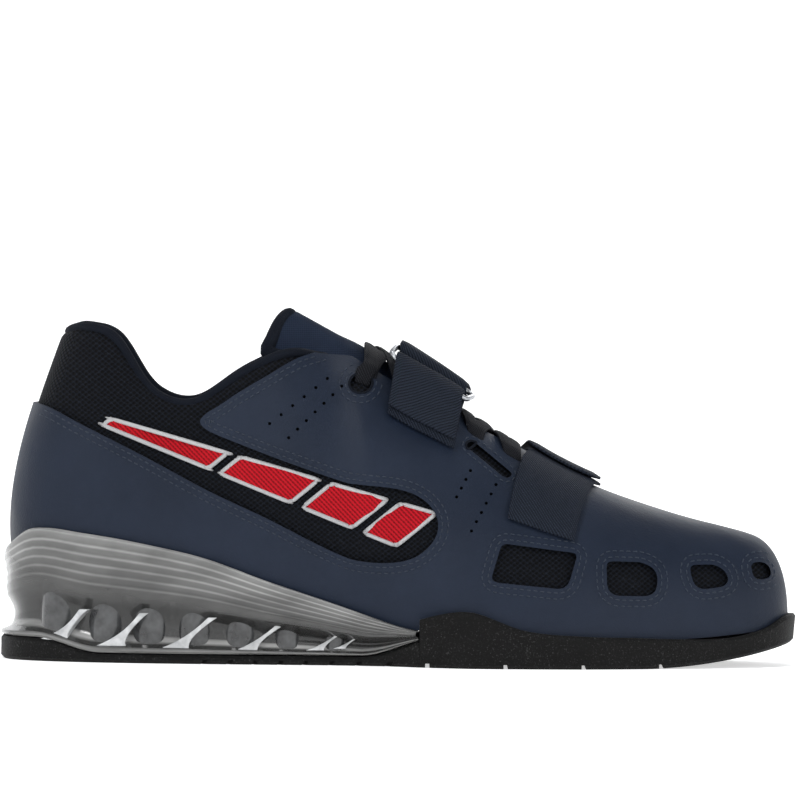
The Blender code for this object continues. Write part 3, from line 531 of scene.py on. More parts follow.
def crest_lift(x, share):
    """How far the padded tongue pushes tongue, laces and strap up along the crest."""
    along = 1 - smooth_step(x, x_of(0.45), x_of(0.63))
    return CREST_LIFT * float(along * smooth_step(share, 0.74, 0.99))


# Scene pieces. Sizes of the finer surfaces and of trim.
FINE_STEP = 1 / 6
FINE_ROWS = 36
KNIT_STEP = 1 / 3
KNIT_ROWS = 20
CUT_ROUNDING = 0.0022
LEATHER_EDGE = 0.00028


def add_object(name, mesh):
    obj = bpy.data.objects.new(name, mesh)
    bpy.context.scene.collection.objects.link(obj)
    return obj


def build_mesh(name, points, faces, triangulate=False):
    mesh = bpy.data.meshes.new(name)
    mesh.from_pydata([tuple(map(float, point)) for point in points], [], faces)
    tidy = bmesh.new()
    tidy.from_mesh(mesh)
    bmesh.ops.remove_doubles(tidy, verts=tidy.verts, dist=1e-6)
    bmesh.ops.recalc_face_normals(tidy, faces=tidy.faces)
    if triangulate:
        bmesh.ops.triangulate(tidy, faces=tidy.faces, quad_method="SHORT_EDGE")
    tidy.to_mesh(mesh)
    tidy.free()
    return mesh


def bake(obj):
    """Applies the modifiers of an object."""
    bpy.context.view_layer.update()
    graph = bpy.context.evaluated_depsgraph_get()
    mesh = bpy.data.meshes.new_from_object(obj.evaluated_get(graph))
    obj.modifiers.clear()
    obj.data = mesh
    return obj


def finish_piece(obj, paint, angle=35):
    obj.data.materials.clear()
    obj.data.materials.append(paint)
    if obj.type == "MESH":
        obj.data.shade_smooth()
        if angle:
            obj.data.set_sharp_from_angle(angle=math.radians(angle))
    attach(obj, "root")
    return obj


def grid_quads(columns, rows):
    faces = []
    for i in range(columns - 1):
        a, b = i * rows, (i + 1) * rows
        faces += [(a + j, b + j, b + j + 1, a + j + 1) for j in range(rows - 1)]
    return faces


def fine_sheet(name, step, rows, offset=0.0):
    """The upper's outer face on a fine grid, moved off the foot by the offset."""
    around = stations(0, LAST_STATION, step)
    path = [(LATERAL, s) for s in around] + [(MEDIAL, s) for s in reversed(around)]
    points = []
    for side, station in path:
        edge = body_edge(station)
        for level in range(rows + 1):
            points.append(body_point(side, station, edge * level / rows))
    mesh = build_mesh(name, points, grid_quads(len(path), rows + 1))
    middle = Vector((0, 0, HEEL_BED))
    facing = sum((f.center - middle).dot(f.normal) * f.area for f in mesh.polygons)
    if facing < 0:
        mesh.flip_normals()
    if offset:
        moved = [vertex.co + vertex.normal * offset for vertex in mesh.vertices]
        for vertex, place in zip(mesh.vertices, moved):
            vertex.co = place
        mesh.update()
    return mesh


def thicken(obj, thickness, share):
    modifier = obj.modifiers.new("wall", "SOLIDIFY")
    modifier.thickness = thickness
    modifier.offset = share
    modifier.use_even_offset = True
    return modifier


def subdivide(obj, levels):
    modifier = obj.modifiers.new("smooth", "SUBSURF")
    modifier.levels = levels
    modifier.render_levels = levels
    return modifier


def wall_at(x, z):
    """Thickness of the upper: padded round the collar, thin elsewhere."""
    high = smooth_step(z, 0.50 * COLLAR_HEIGHT, 0.74 * COLLAR_HEIGHT)
    back = 1 - smooth_step(x, x_of(0.34), x_of(0.41))
    return UPPER_WALL + (COLLAR_WALL - UPPER_WALL) * float(high * back)


def smooth_loop(points, steps=6, closed=True):
    """Catmull-Rom curve through plan or side points."""
    table = [np.array(point, float) for point in points]
    count = len(table)
    result = []
    for i in range(count if closed else count - 1):
        if closed:
            p = [table[(i + k) % count] for k in (-1, 0, 1, 2)]
        else:
            p = [table[min(max(i + k, 0), count - 1)] for k in (-1, 0, 1, 2)]
        for k in range(steps):
            t = k / steps
            result.append(
                0.5
                * (
                    2 * p[1]
                    + (p[2] - p[0]) * t
                    + (2 * p[0] - 5 * p[1] + 4 * p[2] - p[3]) * t**2
                    + (3 * p[1] - p[0] - 3 * p[2] + p[3]) * t**3
                )
            )
    if not closed:
        result.append(table[-1])
    return result


def rounded(points, radius, steps=4):
    """Outline with each corner turned into a small curve."""
    table = [np.array(point, float) for point in points]
    result = []
    for i, corner in enumerate(table):
        before, after = table[i - 1] - corner, table[(i + 1) % len(table)] - corner
        back, ahead = np.linalg.norm(before), np.linalg.norm(after)
        start = corner + before / back * min(radius, 0.45 * back)
        end = corner + after / ahead * min(radius, 0.45 * ahead)
        for k in range(steps + 1):
            t = k / steps
            result.append((1 - t) ** 2 * start + 2 * t * (1 - t) * corner + t**2 * end)
    return result


def side_prism(name, outline, reach=BALL_WIDTH):
    """Upright cutter from an outline in the side view, right through the shoe."""
    shape = bmesh.new()
    corners = [shape.verts.new((x, -reach, z)) for x, z in outline]
    face = shape.faces.new(corners)
    raised = bmesh.ops.extrude_face_region(shape, geom=[face])["geom"]
    raised = [element for element in raised if isinstance(element, bmesh.types.BMVert)]
    bmesh.ops.translate(shape, verts=raised, vec=(0, 2 * reach, 0))
    bmesh.ops.recalc_face_normals(shape, faces=shape.faces)
    mesh = bpy.data.meshes.new(name)
    shape.to_mesh(mesh)
    shape.free()
    return add_object(name, mesh)


def cut_with(obj, cutters):
    """Cuts the objects out of obj, bakes the result and removes the cutters."""
    for cutter in cutters:
        modifier = obj.modifiers.new("cut", "BOOLEAN")
        modifier.operation = "DIFFERENCE"
        modifier.object = cutter
    bake(obj)
    for cutter in cutters:
        bpy.data.objects.remove(cutter)
    return obj


# Materials.


def new_paint(name):
    paint = bpy.data.materials.new(name)
    paint.use_nodes = True
    tree = paint.node_tree
    return paint, tree, tree.nodes["Principled BSDF"]


def add_node(tree, kind, **values):
    made = tree.nodes.new(kind)
    for name, value in values.items():
        setattr(made, name, value)
    return made


def place_coordinates(tree, scale=(1, 1, 1), turn=(0, 0, 0), use_uv=False):
    source = add_node(tree, "ShaderNodeTexCoord")
    mapping = add_node(tree, "ShaderNodeMapping")
    mapping.inputs["Scale"].default_value = scale
    mapping.inputs["Rotation"].default_value = turn
    tree.links.new(source.outputs["UV" if use_uv else "Object"], mapping.inputs["Vector"])
    return mapping.outputs["Vector"]


def noise(tree, vector, scale, detail=3.0, roughness=0.55):
    made = add_node(tree, "ShaderNodeTexNoise")
    made.inputs["Scale"].default_value = scale
    made.inputs["Detail"].default_value = detail
    made.inputs["Roughness"].default_value = roughness
    tree.links.new(vector, made.inputs["Vector"])
    return made.outputs["Fac"]


def voronoi(tree, vector, scale, feature="F1", randomness=1.0):
    made = add_node(tree, "ShaderNodeTexVoronoi", feature=feature)
    made.inputs["Scale"].default_value = scale
    made.inputs["Randomness"].default_value = randomness
    tree.links.new(vector, made.inputs["Vector"])
    return made.outputs["Distance"]


def ramp(tree, value, stops):
    made = add_node(tree, "ShaderNodeValToRGB")
    while len(made.color_ramp.elements) < len(stops):
        made.color_ramp.elements.new(0.5)
    for element, (place, colour) in zip(made.color_ramp.elements, stops):
        element.position = place
        element.color = (*colour, 1)
    tree.links.new(value, made.inputs["Fac"])
    return made.outputs["Color"]


def span(tree, value, low, high, out_low, out_high):
    made = add_node(tree, "ShaderNodeMapRange")
    for name, number in (
        ("From Min", low),
        ("From Max", high),
        ("To Min", out_low),
        ("To Max", out_high),
    ):
        made.inputs[name].default_value = number
    tree.links.new(value, made.inputs["Value"])
    return made.outputs["Result"]


def math_node(tree, operation, first, second):
    made = add_node(tree, "ShaderNodeMath", operation=operation)
    for socket, value in zip(made.inputs, (first, second)):
        if isinstance(value, (int, float)):
            socket.default_value = value
        else:
            tree.links.new(value, socket)
    return made.outputs["Value"]


def bump(tree, shader, height, distance, strength=1.0, under=None):
    made = add_node(tree, "ShaderNodeBump")
    made.inputs["Distance"].default_value = distance
    made.inputs["Strength"].default_value = strength
    tree.links.new(height, made.inputs["Height"])
    if under:
        tree.links.new(under, made.inputs["Normal"])
    tree.links.new(made.outputs["Normal"], shader.inputs["Normal"])
    return made.outputs["Normal"]


def leather_paint(name, dark, light, grain=1500, gloss=0.50):
    """Coated leather: pebble grain, slow colour change and uneven sheen."""
    paint, tree, shader = new_paint(name)
    place = place_coordinates(tree)
    slow = noise(tree, place, 28, 4)
    tree.links.new(ramp(tree, slow, [(0.3, dark), (0.7, light)]), shader.inputs["Base Color"])
    tree.links.new(span(tree, slow, 0.3, 0.7, gloss - 0.06, gloss + 0.08), shader.inputs["Roughness"])
    pebble = voronoi(tree, place, grain)
    fine = noise(tree, place, 2600, 2)
    creases = noise(tree, place, 120, 5)
    mixed = math_node(tree, "ADD", pebble, math_node(tree, "MULTIPLY", fine, 0.6))
    first = bump(tree, shader, mixed, 0.00012, 0.55)
    bump(tree, shader, creases, 0.0009, 0.25, first)
    shader.inputs["Specular IOR Level"].default_value = 0.18
    return paint


def mesh_paint(name, thread, hole, pitch):
    """Knit mesh: rows of small round openings between threads, with a painted highlight on the threads'
    crowns.
    """
    paint, tree, shader = new_paint(name)
    place = place_coordinates(tree, (1, 1.25, 1), (0, 0, math.pi / 4), use_uv=True)
    cells = voronoi(tree, place, 1 / pitch, randomness=0.12)
    slow = noise(tree, place, 60, 3)
    # Painted highlight: the threads' crowns are painted 2.4 times lighter than the thread colour.
    lit = tuple(channel * 2.4 for channel in thread)
    shade = ramp(tree, cells, [(0.24, hole), (0.44, thread), (0.72, lit)])
    tree.links.new(shade, shader.inputs["Base Color"])
    wavy = math_node(tree, "ADD", cells, math_node(tree, "MULTIPLY", slow, 0.3))
    bump(tree, shader, wavy, 0.0007, 1.0)
    shader.inputs["Roughness"].default_value = 0.8
    shader.inputs["Specular IOR Level"].default_value = 0.12
    return paint


NAVY_DARK = (0.0070, 0.0120, 0.0245)
NAVY_LIGHT = (0.0115, 0.0180, 0.0345)
leather = leather_paint("navy_leather", NAVY_DARK, NAVY_LIGHT)
knit = mesh_paint("knit_mesh", (0.0032, 0.0042, 0.0068), (0.0004, 0.0004, 0.0008), 0.0017)


# Knit upper and leather overlays.


def lay_uv(obj):
    """UVs in metres: along the shoe and up the wall, so that a weave keeps its size."""
    layer = obj.data.uv_layers.new(name="lie")
    for polygon in obj.data.polygons:
        flat = abs(polygon.normal.z) > 0.75
        front = abs(polygon.normal.x) > 0.75
        for index in polygon.loop_indices:
            place = obj.data.vertices[obj.data.loops[index].vertex_index].co
            u = place.y if front else place.x
            v = place.y if flat else place.z
            layer.data[index].uv = (u, v)


def make_knit():
    mesh = fine_sheet("fine_knit", KNIT_STEP, KNIT_ROWS)
    upper = add_object("fine_knit", mesh)
    padding = upper.vertex_groups.new(name="padding")
    for vertex in mesh.vertices:
        padding.add([vertex.index], wall_at(vertex.co.x, vertex.co.z) / COLLAR_WALL, "REPLACE")
    wall = thicken(upper, COLLAR_WALL, -1)
    wall.vertex_group = "padding"
    subdivide(upper, 1)
    bake(upper)
    lay_uv(upper)
    finish_piece(upper, knit, 60)
    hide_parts("upper")
    return upper


def side_points(shares):
    return [(x_of(x), z * COLLAR_HEIGHT) for x, z in shares]


def make_leather():
    mesh = fine_sheet("leather", FINE_STEP, FINE_ROWS, LAYER_GAP)
    shell = add_object("leather", mesh)
    thicken(shell, LEATHER, 1).use_even_offset = False
    bake(shell)
    cutters = []
    for name, shares in LEATHER_CUTS.items():
        points = side_points(shares)
        outline = knit_outline(points) if name == "knit" else rounded(points, CUT_ROUNDING)
        cutters.append(side_prism(f"{name}_cutter", outline))
    cutters.append(joined_shape("pinhole_cutter", pinhole_cutter))
    cut_with(shell, cutters)
    edge = shell.modifiers.new("edge", "BEVEL")
    edge.width = LEATHER_EDGE
    edge.segments = 2
    edge.limit_method = "ANGLE"
    edge.angle_limit = math.radians(55)
    finish_piece(shell, leather, 45)
    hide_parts("leather_shell")
    return shell


def knit_outline(points):
    """The knit band's outline, smooth except at the corners outside the shoe."""
    return [points[0], *smooth_loop(points[1:-2], 4, closed=False), *points[-2:]]


# Straps, tabs and rings over the leather, on a fine grid.
ACROSS_STEPS = 3
ALONG_STEPS = 4


def finer(rows, steps):
    """Rows of points with Catmull-Rom rows between them."""
    return smooth_loop(rows, steps, closed=False)


def woven_object(name, points, faces, places):
    """Object whose weave lies at a flat place, in metres, given for each point."""
    mesh = bpy.data.meshes.new(name)
    mesh.from_pydata([tuple(map(float, point)) for point in points], [], faces)
    layer = mesh.uv_layers.new(name="lie")
    for polygon in mesh.polygons:
        for index in polygon.loop_indices:
            layer.data[index].uv = places[mesh.loops[index].vertex_index]
    turn = bmesh.new()
    turn.from_mesh(mesh)
    bmesh.ops.recalc_face_normals(turn, faces=turn.faces)
    turn.to_mesh(mesh)
    turn.free()
    return add_object(name, mesh)


def ribbon(name, rows, thickness):
    """Band through rows of points with a rounded edge and UVs in metres."""
    rows = np.array(finer([np.array(row) for row in rows], ALONG_STEPS))
    if rows.shape[1] > 2:
        columns = finer([rows[:, j] for j in range(rows.shape[1])], ACROSS_STEPS)
    else:
        columns = [rows[:, 0] + (rows[:, 1] - rows[:, 0]) * k / 4 for k in range(5)]
    grid = np.array(columns).transpose(1, 0, 2)
    along = np.gradient(grid, axis=0)
    across = np.gradient(grid, axis=1)
    normal = np.cross(along, across)
    normal /= np.linalg.norm(normal, axis=2)[:, :, None]
    count, width = grid.shape[:2]
    middle = grid[:, width // 2]
    reach = np.concatenate(([0], np.cumsum(np.linalg.norm(np.diff(middle, axis=0), axis=1))))
    wide = float(np.linalg.norm(np.diff(grid[0], axis=0), axis=1).sum())
    tuck = np.sin(np.linspace(0, math.pi, width)) ** 0.25
    points, places, size = [], [], count * width
    for way in (1, -1):
        for i in range(count):
            end = 0.4 + 0.6 * min(1, i / 1.0, (count - 1 - i) / 1.0)
            for j in range(width):
                half = thickness / 2 * (0.45 + 0.55 * tuck[j]) * end
                points.append(grid[i, j] + normal[i, j] * half * way)
                places.append((reach[i], wide * j / (width - 1)))
    faces = []
    for i in range(count - 1):
        for j in range(width - 1):
            a = i * width + j
            faces.append((a, a + 1, a + width + 1, a + width))
            faces.append((size + a, size + a + width, size + a + width + 1, size + a + 1))
    border = [(i * width, (i + 1) * width) for i in range(count - 1)]
    border += [((count - 1) * width + j, (count - 1) * width + j + 1) for j in range(width - 1)]
    border += [((i + 1) * width - 1, i * width - 1) for i in range(count - 1, 0, -1)]
    border += [(j + 1, j) for j in range(width - 2, -1, -1)]
    faces += [(a, b, size + b, size + a) for a, b in border]
    return woven_object(name, points, faces, places)


def wire_loop(name, path, radius):
    """Round wire bent into a closed ring."""
    curve = bpy.data.curves.new(name, "CURVE")
    curve.dimensions = "3D"
    curve.bevel_depth = radius
    curve.bevel_resolution = 4
    smooth_path = smooth_loop(path, 3)
    loop = curve.splines.new("POLY")
    loop.points.add(len(smooth_path) - 1)
    for point, place in zip(loop.points, smooth_path):
        point.co = (*place, 1)
    loop.use_cyclic_u = True
    return add_object(name, curve)


def strap_rows(path, width):
    """Rows across a strap; each path entry is side, share, middle x and a rule for the offset."""
    rows = []
    for side, share, x, offset in path:
        xs = [x + width * (k / STRAP_COLUMNS - 0.5) for k in range(STRAP_COLUMNS + 1)]
        rows.append([over_sheet(side, share, at, offset(at, share)) for at in xs])
    return rows


def strap_base(stack):
    """Rule for a strap's offset from the sheet; stack is what lies under it at the crest."""
    low = LEATHER + LAYER_GAP + STRAP_GAP + STRAP_THICKNESS / 2

    def rule(x, share):
        return low + stack * float(smooth_step(share, 0.55, 0.78)) + crest_lift(x, share)

    return rule


def bar_scale(side, share, x):
    """Metres along the sheet for one unit of share at this place."""
    step = 0.02
    station = station_at(side, share, x)
    low, high = (body_point(side, station, share + k * step) for k in (-1, 1))
    return float(np.linalg.norm(high - low)) / (2 * step)


def lean_x(middle, lean, share):
    """Middle of a strap at a share: it leans back as it comes down from the crest."""
    return middle - lean * (1 - share)


def looped_band(name, side, bar, ends, middle, lean, rule, down):
    """Band folded round a ring's bar. ends are its lower and upper layers' far ends.

    down is 1 for a strap that comes from the crest and -1 for a tab from below. An end is a
    side and share, and a way over the crest goes through the ridge at share 1.
    """
    radius = RING_WIRE + FOLD_GAP + STRAP_THICKNESS / 2
    scale = bar_scale(side, bar, lean_x(middle, lean, bar))
    spread = 3.5 * radius / scale

    def layer(end_side, end_share):
        places = [(side, bar + down * spread * k) for k in (0.5, 1.0, 1.6)]
        if end_side == side:
            last = places[-1][1]
            count = max(round(abs(end_share - last) / 0.09), 1)
            return places + [
                (side, last + (end_share - last) * k / count) for k in range(1, count + 1)
            ]
        places = [(at, share) for at, share in places if share < 0.97]
        last = places[-1][1]
        count = max(round((1 - last) / 0.09), 1)
        places += [(side, last + (1 - last) * k / count) for k in range(1, count + 1)]
        count = max(round((1 - end_share) / 0.09), 1)
        return places + [
            (end_side, 1 - (1 - end_share) * k / count) for k in range(1, count + 1)
        ]

    def entry(place, upper):
        at_side, share = place
        distance = abs(share - bar) if at_side == side else 1 + abs(share - bar)
        part_way = 1 - float(smooth_step(distance, 0, 1.6 * spread))
        gap = STRAP_THICKNESS + LAYER_GAP
        rise = (gap + (2 * radius - gap) * part_way) * upper

        def offset(x, s):
            return rule(x, s) + rise

        return (at_side, share, lean_x(middle, lean, share), offset)

    lower = [entry(place, 0) for place in layer(*ends[0])][::-1]
    upper = [entry(place, 1) for place in layer(*ends[1])]
    turns = []
    for degrees in (-90, -45, 0, 45, 90):
        turn = math.radians(degrees)
        share = bar - down * radius * math.cos(turn) / scale
        rise = radius * (1 + math.sin(turn))

        def offset(x, _, rise=rise):
            return rule(x, bar) + rise

        turns.append((side, share, lean_x(middle, lean, share), offset))
    rows = strap_rows(lower + turns + upper, STRAP_WIDTH)
    return ribbon(name, rows, STRAP_THICKNESS)


def make_ring(name, side, bars, middle, lean, rule):
    """Wire ring with one bar in the strap's fold and one in the tab's."""
    radius = RING_WIRE + FOLD_GAP + STRAP_THICKNESS / 2
    reach = STRAP_WIDTH / 2 + RING_WIRE + RING_SIDE_GAP
    corner = 2.2 * RING_WIRE
    path = []
    for bar, way in zip(bars, (1, -1)):
        inward = (bars[1] - bars[0]) * way
        corner_share = abs(inward) * 0.26 * (1 if inward > 0 else -1)
        run = [-reach, -reach + corner * 0.3, -reach + corner, -reach / 3, reach / 3]
        run += [reach - corner, reach - corner * 0.3, reach]
        shares = [1, 0.3, 0, 0, 0, 0, 0.3, 1]
        for x, part_way in zip(run, shares):
            share = bar + corner_share * part_way
            at = lean_x(middle, lean, bar) + x * way
            path.append(over_sheet(side, share, at, rule(at, share) + radius))
    return wire_loop(name, path, RING_WIRE)


def make_straps():
    instep_rule = strap_base(1.7 * LACE_THICKNESS + LAYER_GAP)
    front_rule = strap_base(0)
    instep_x, front_x = x_of(INSTEP_STRAP_SHARE), x_of(FOREFOOT_STRAP_SHARE)

    def second_bar(side, bar, middle, lean):
        return bar - RING_DEPTH / bar_scale(side, bar, lean_x(middle, lean, bar))

    instep_bars = (INSTEP_BAR_SHARE, second_bar(LATERAL, INSTEP_BAR_SHARE, instep_x, INSTEP_LEAN))
    front_bars = (FOREFOOT_BAR_SHARE, second_bar(MEDIAL, FOREFOOT_BAR_SHARE, front_x, FOREFOOT_LEAN))
    instep = (instep_x, INSTEP_LEAN, instep_rule)
    front = (front_x, FOREFOOT_LEAN, front_rule)
    return [
        looped_band(
            "fine_instep_strap", LATERAL, instep_bars[0], ((MEDIAL, 0.34), (MEDIAL, 0.66)),
            *instep, 1,
        ),
        looped_band(
            "fine_instep_tab", LATERAL, instep_bars[1], ((LATERAL, 0.56), (LATERAL, 0.58)),
            *instep, -1,
        ),
        make_ring("fine_instep_ring", LATERAL, instep_bars, *instep),
        looped_band(
            "fine_forefoot_strap", MEDIAL, front_bars[0], ((LATERAL, 0.39), (LATERAL, 0.88)),
            *front, 1,
        ),
        looped_band(
            "fine_forefoot_tab", MEDIAL, front_bars[1], ((MEDIAL, 0.26), (MEDIAL, 0.28)),
            *front, -1,
        ),
        make_ring("fine_forefoot_ring", MEDIAL, front_bars, *front),
    ]


TONGUE_WING = 0.018


def tongue_rib(station, raised=0.0):
    """Row over the foot's arch, under the throat's edges and up to the crest between them.

    raised moves it up and back out of the throat and draws it in, 1 for the tongue's top.
    """
    row = []
    for side in (LATERAL, MEDIAL):
        half = []
        for k in range(TONGUE_ROWS + (side == LATERAL)):
            share = TONGUE_EDGE_SHARE + (1 - TONGUE_EDGE_SHARE) * k / TONGUE_ROWS
            rise = float(smooth_step(share, min(body_edge(station) + 0.02, 0.97), 1.0))
            rise *= 1 - smooth_step(station, THROAT_END - 1.6, THROAT_END - 0.2)
            rise *= 1 - 0.9 * raised
            x, _, z = body_point(side, station, share)
            sink = wall_at(x, z) + TONGUE_GAP
            lift = -sink + (sink + TONGUE_CREST + crest_lift(x, share)) * rise
            place = body_point(side, station, share) + sheet_normal(side, station, share) * lift
            drawn_in = 1 - (1 - TONGUE_TOP_SHARE) * raised**0.4
            place *= (1, drawn_in, 1)
            wing = 1 - (share - TONGUE_EDGE_SHARE) / (1 - TONGUE_EDGE_SHARE)
            lean = TONGUE_LEAN + TONGUE_WING * wing
            half.append(place + np.array((-lean, 0, TONGUE_RISE)) * raised)
        row += half if side == LATERAL else half[::-1]
    return row


# Tongue, straps, rings and lacing.


def webbing_paint(name, dark, light, rib=0.0007):
    """Woven webbing: fine ribs along the band, crossed by the weft."""
    paint, tree, shader = new_paint(name)
    place = place_coordinates(tree, use_uv=True)
    warp = add_node(tree, "ShaderNodeTexWave", bands_direction="DIAGONAL")
    warp.inputs["Scale"].default_value = 1 / rib / 3.2
    warp.inputs["Distortion"].default_value = 0.4
    tree.links.new(place, warp.inputs["Vector"])
    cells = voronoi(tree, place, 1 / rib, randomness=0.15)
    woven = math_node(tree, "ADD", warp.outputs["Fac"], math_node(tree, "MULTIPLY", cells, 0.8))
    slow = noise(tree, place, 90, 3)
    mixed = math_node(tree, "MULTIPLY", woven, span(tree, slow, 0, 1, 0.75, 1.1))
    tree.links.new(ramp(tree, mixed, [(0.25, dark), (0.95, light)]), shader.inputs["Base Color"])
    bump(tree, shader, woven, 0.00035, 0.8)
    shader.inputs["Roughness"].default_value = 0.75
    shader.inputs["Specular IOR Level"].default_value = 0.12
    return paint


def metal_paint():
    paint, tree, shader = new_paint("polished_wire")
    place = place_coordinates(tree)
    shader.inputs["Base Color"].default_value = (0.36, 0.37, 0.39, 1)
    shader.inputs["Metallic"].default_value = 1.0
    worn = noise(tree, place, 700, 3)
    tree.links.new(span(tree, worn, 0.3, 0.7, 0.24, 0.38), shader.inputs["Roughness"])
    bump(tree, shader, worn, 0.00003, 0.3)
    return paint


def cloth_paint(name, dark, light, pitch=0.0007):
    """Close plain weave."""
    paint, tree, shader = new_paint(name)
    place = place_coordinates(tree, use_uv=True)
    cells = voronoi(tree, place, 1 / pitch, randomness=0.1)
    slow = noise(tree, place, 45, 4)
    mixed = math_node(tree, "ADD", cells, math_node(tree, "MULTIPLY", slow, 0.7))
    tree.links.new(ramp(tree, mixed, [(0.35, dark), (0.95, light)]), shader.inputs["Base Color"])
    bump(tree, shader, cells, 0.0003, 0.7)
    shader.inputs["Roughness"].default_value = 0.85
    shader.inputs["Specular IOR Level"].default_value = 0.12
    return paint


webbing = webbing_paint("navy_webbing", (0.003, 0.005, 0.009), (0.016, 0.021, 0.034))
wire = metal_paint()
lace_cloth = webbing_paint("black_lace", (0.002, 0.002, 0.003), (0.013, 0.014, 0.018), 0.0006)
tongue_cloth = cloth_paint("navy_cloth", (0.005, 0.009, 0.020), (0.014, 0.022, 0.042))
binding_cloth = cloth_paint("dark_binding", (0.002, 0.003, 0.006), (0.009, 0.012, 0.020), 0.0005)


TONGUE_PAD = 0.0068
PAD_FROM, PAD_TO = 0.93, 1.02
COLLAR_BINDING = 0.0021
LACE_DIVE = 0.0022
LACE_SINK = 0.0012
LACE_FRONT_SINK = 0.0022


def padded_share(z):
    """0 low on the tongue and 1 at its thick top."""
    return float(smooth_step(z, PAD_FROM * COLLAR_HEIGHT, PAD_TO * COLLAR_HEIGHT))


def make_tongue():
    raised = (1.0, 0.86, 0.72, 0.58, 0.44, 0.3, 0.15)
    rows = [tongue_rib(TONGUE_TOP, part) for part in raised]
    rows += [tongue_rib(s) for s in stations(TONGUE_TOP, THROAT_END + 0.6, 0.25)]
    points = [point for row in rows for point in row]
    mesh = build_mesh("tongue_pad", points, grid_quads(len(rows), len(rows[0])))
    middle = Vector((0, 0, HEEL_BED))
    if sum((f.center - middle).dot(f.normal) for f in mesh.polygons) < 0:
        mesh.flip_normals()
    tongue = add_object("tongue_pad", mesh)
    padding = tongue.vertex_groups.new(name="padding")
    for vertex in mesh.vertices:
        high = padded_share(vertex.co.z)
        thin = TONGUE_THICKNESS / TONGUE_PAD
        padding.add([vertex.index], thin + (1 - thin) * high, "REPLACE")
    face = BVHTree.FromPolygons([v.co for v in mesh.vertices], [f.vertices for f in mesh.polygons])
    thicken(tongue, TONGUE_PAD, -1).vertex_group = "padding"
    subdivide(tongue, 1)
    bake(tongue)
    lay_uv(tongue)
    finish_piece(tongue, tongue_cloth, 60)
    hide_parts("tongue")
    edge = rows[0]
    side_a = [row[0] for row in rows[:8]]
    side_b = [row[-1] for row in rows[:8]]
    path = side_a[::-1] + edge[1:-1] + side_b
    middles = []
    for place in path:
        high = padded_share(place[2])
        deep = TONGUE_THICKNESS + (TONGUE_PAD - TONGUE_THICKNESS) * high
        _, normal, _, _ = face.find_nearest(Vector(place))
        middles.append(place - np.array(normal) * deep / 2)
    binding = soft_tube("tongue_binding", middles, TONGUE_PAD * 0.44, False)
    finish_piece(binding, binding_cloth, 0)


def soft_tube(name, path, radius, cyclic):
    """Round cord or piping through a path."""
    curve = bpy.data.curves.new(name, "CURVE")
    curve.dimensions = "3D"
    curve.bevel_depth = radius
    curve.bevel_resolution = 3
    curve.use_fill_caps = True
    line = curve.splines.new("POLY")
    points = smooth_loop(path, 3, closed=cyclic)
    line.points.add(len(points) - 1)
    for point, place in zip(line.points, points):
        point.co = (*place, 1)
    line.use_cyclic_u = cyclic
    return add_object(name, curve)


def make_collar_binding():
    around = stations(0, 7.5, 0.25)
    path = [body_point(LATERAL, s, body_edge(s)) for s in reversed(around)]
    path += [body_point(MEDIAL, s, body_edge(s)) for s in around[1:]]
    points = []
    for k, place in enumerate(path):
        side = LATERAL if k < len(around) else MEDIAL
        station = around[::-1][k] if side == LATERAL else around[k - len(around) + 1]
        inward = outward(side, station) * -wall_at(place[0], place[2]) / 2
        points.append(place + np.array((*inward, -0.0004)))
    binding = soft_tube("collar_binding", points, COLLAR_BINDING, False)
    finish_piece(binding, binding_cloth, 0)


def lace_sink(x, share):
    """How much lower a lace lies between the throat's edges than over the leather."""
    front = float(smooth_step(x, x_of(0.54), x_of(0.58)))
    return (LACE_SINK + LACE_FRONT_SINK * front) * float(smooth_step(share, 0.80, 0.96))


def make_lacing():
    step = (x_of(LACE_LAST_SHARE) - x_of(LACE_FIRST_SHARE)) / (LACE_ROWS - 1)
    places = [x_of(LACE_FIRST_SHARE) + step * k for k in range(LACE_ROWS)]
    raised = 0.6 * LACE_THICKNESS
    crossings = [("lace_bar", places[-1] + 0.001, places[-1] + 0.001, 0.0)]
    for k in range(LACE_ROWS - 1):
        crossings.append((f"lace_up_{k + 1}", places[k], places[k + 1], 0.0))
        crossings.append((f"lace_down_{k + 1}", places[k + 1], places[k], raised))
    for name, start, end, hump in crossings:
        rows = []
        for k in range(15):
            part_way = k / 14
            side = LATERAL if part_way <= 0.5 else MEDIAL
            share = 1 - (1 - LACE_EDGE_SHARE) * abs(2 * part_way - 1)
            middle = start + (end - start) * part_way
            over = hump * float(smooth_step(share, 0.80, 0.97))
            dive = LACE_DIVE * float(1 - smooth_step(share, LACE_EDGE_SHARE, LACE_EDGE_SHARE + 0.05))
            row = []
            for x in (middle - LACE_WIDTH / 2, middle + LACE_WIDTH / 2):
                lift = LEATHER + 2 * LAYER_GAP + LACE_THICKNESS / 2 + over
                lift = lift + crest_lift(x, share) - lace_sink(x, share) - dive
                row.append(over_sheet(side, share, x, lift))
            rows.append(row)
        lace = ribbon(name, rows, LACE_THICKNESS)
        finish_piece(lace, lace_cloth, 50)
    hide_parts("lacing")


def dress_straps():
    names = {
        "instep_strap": webbing,
        "instep_tab": webbing,
        "instep_ring": wire,
        "forefoot_strap": webbing,
        "forefoot_tab": webbing,
        "forefoot_ring": wire,
    }
    for piece in make_straps():
        node = piece.name.split(".")[0].replace("fine_", "")
        finish_piece(piece, names[node], 50)
        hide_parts(node)

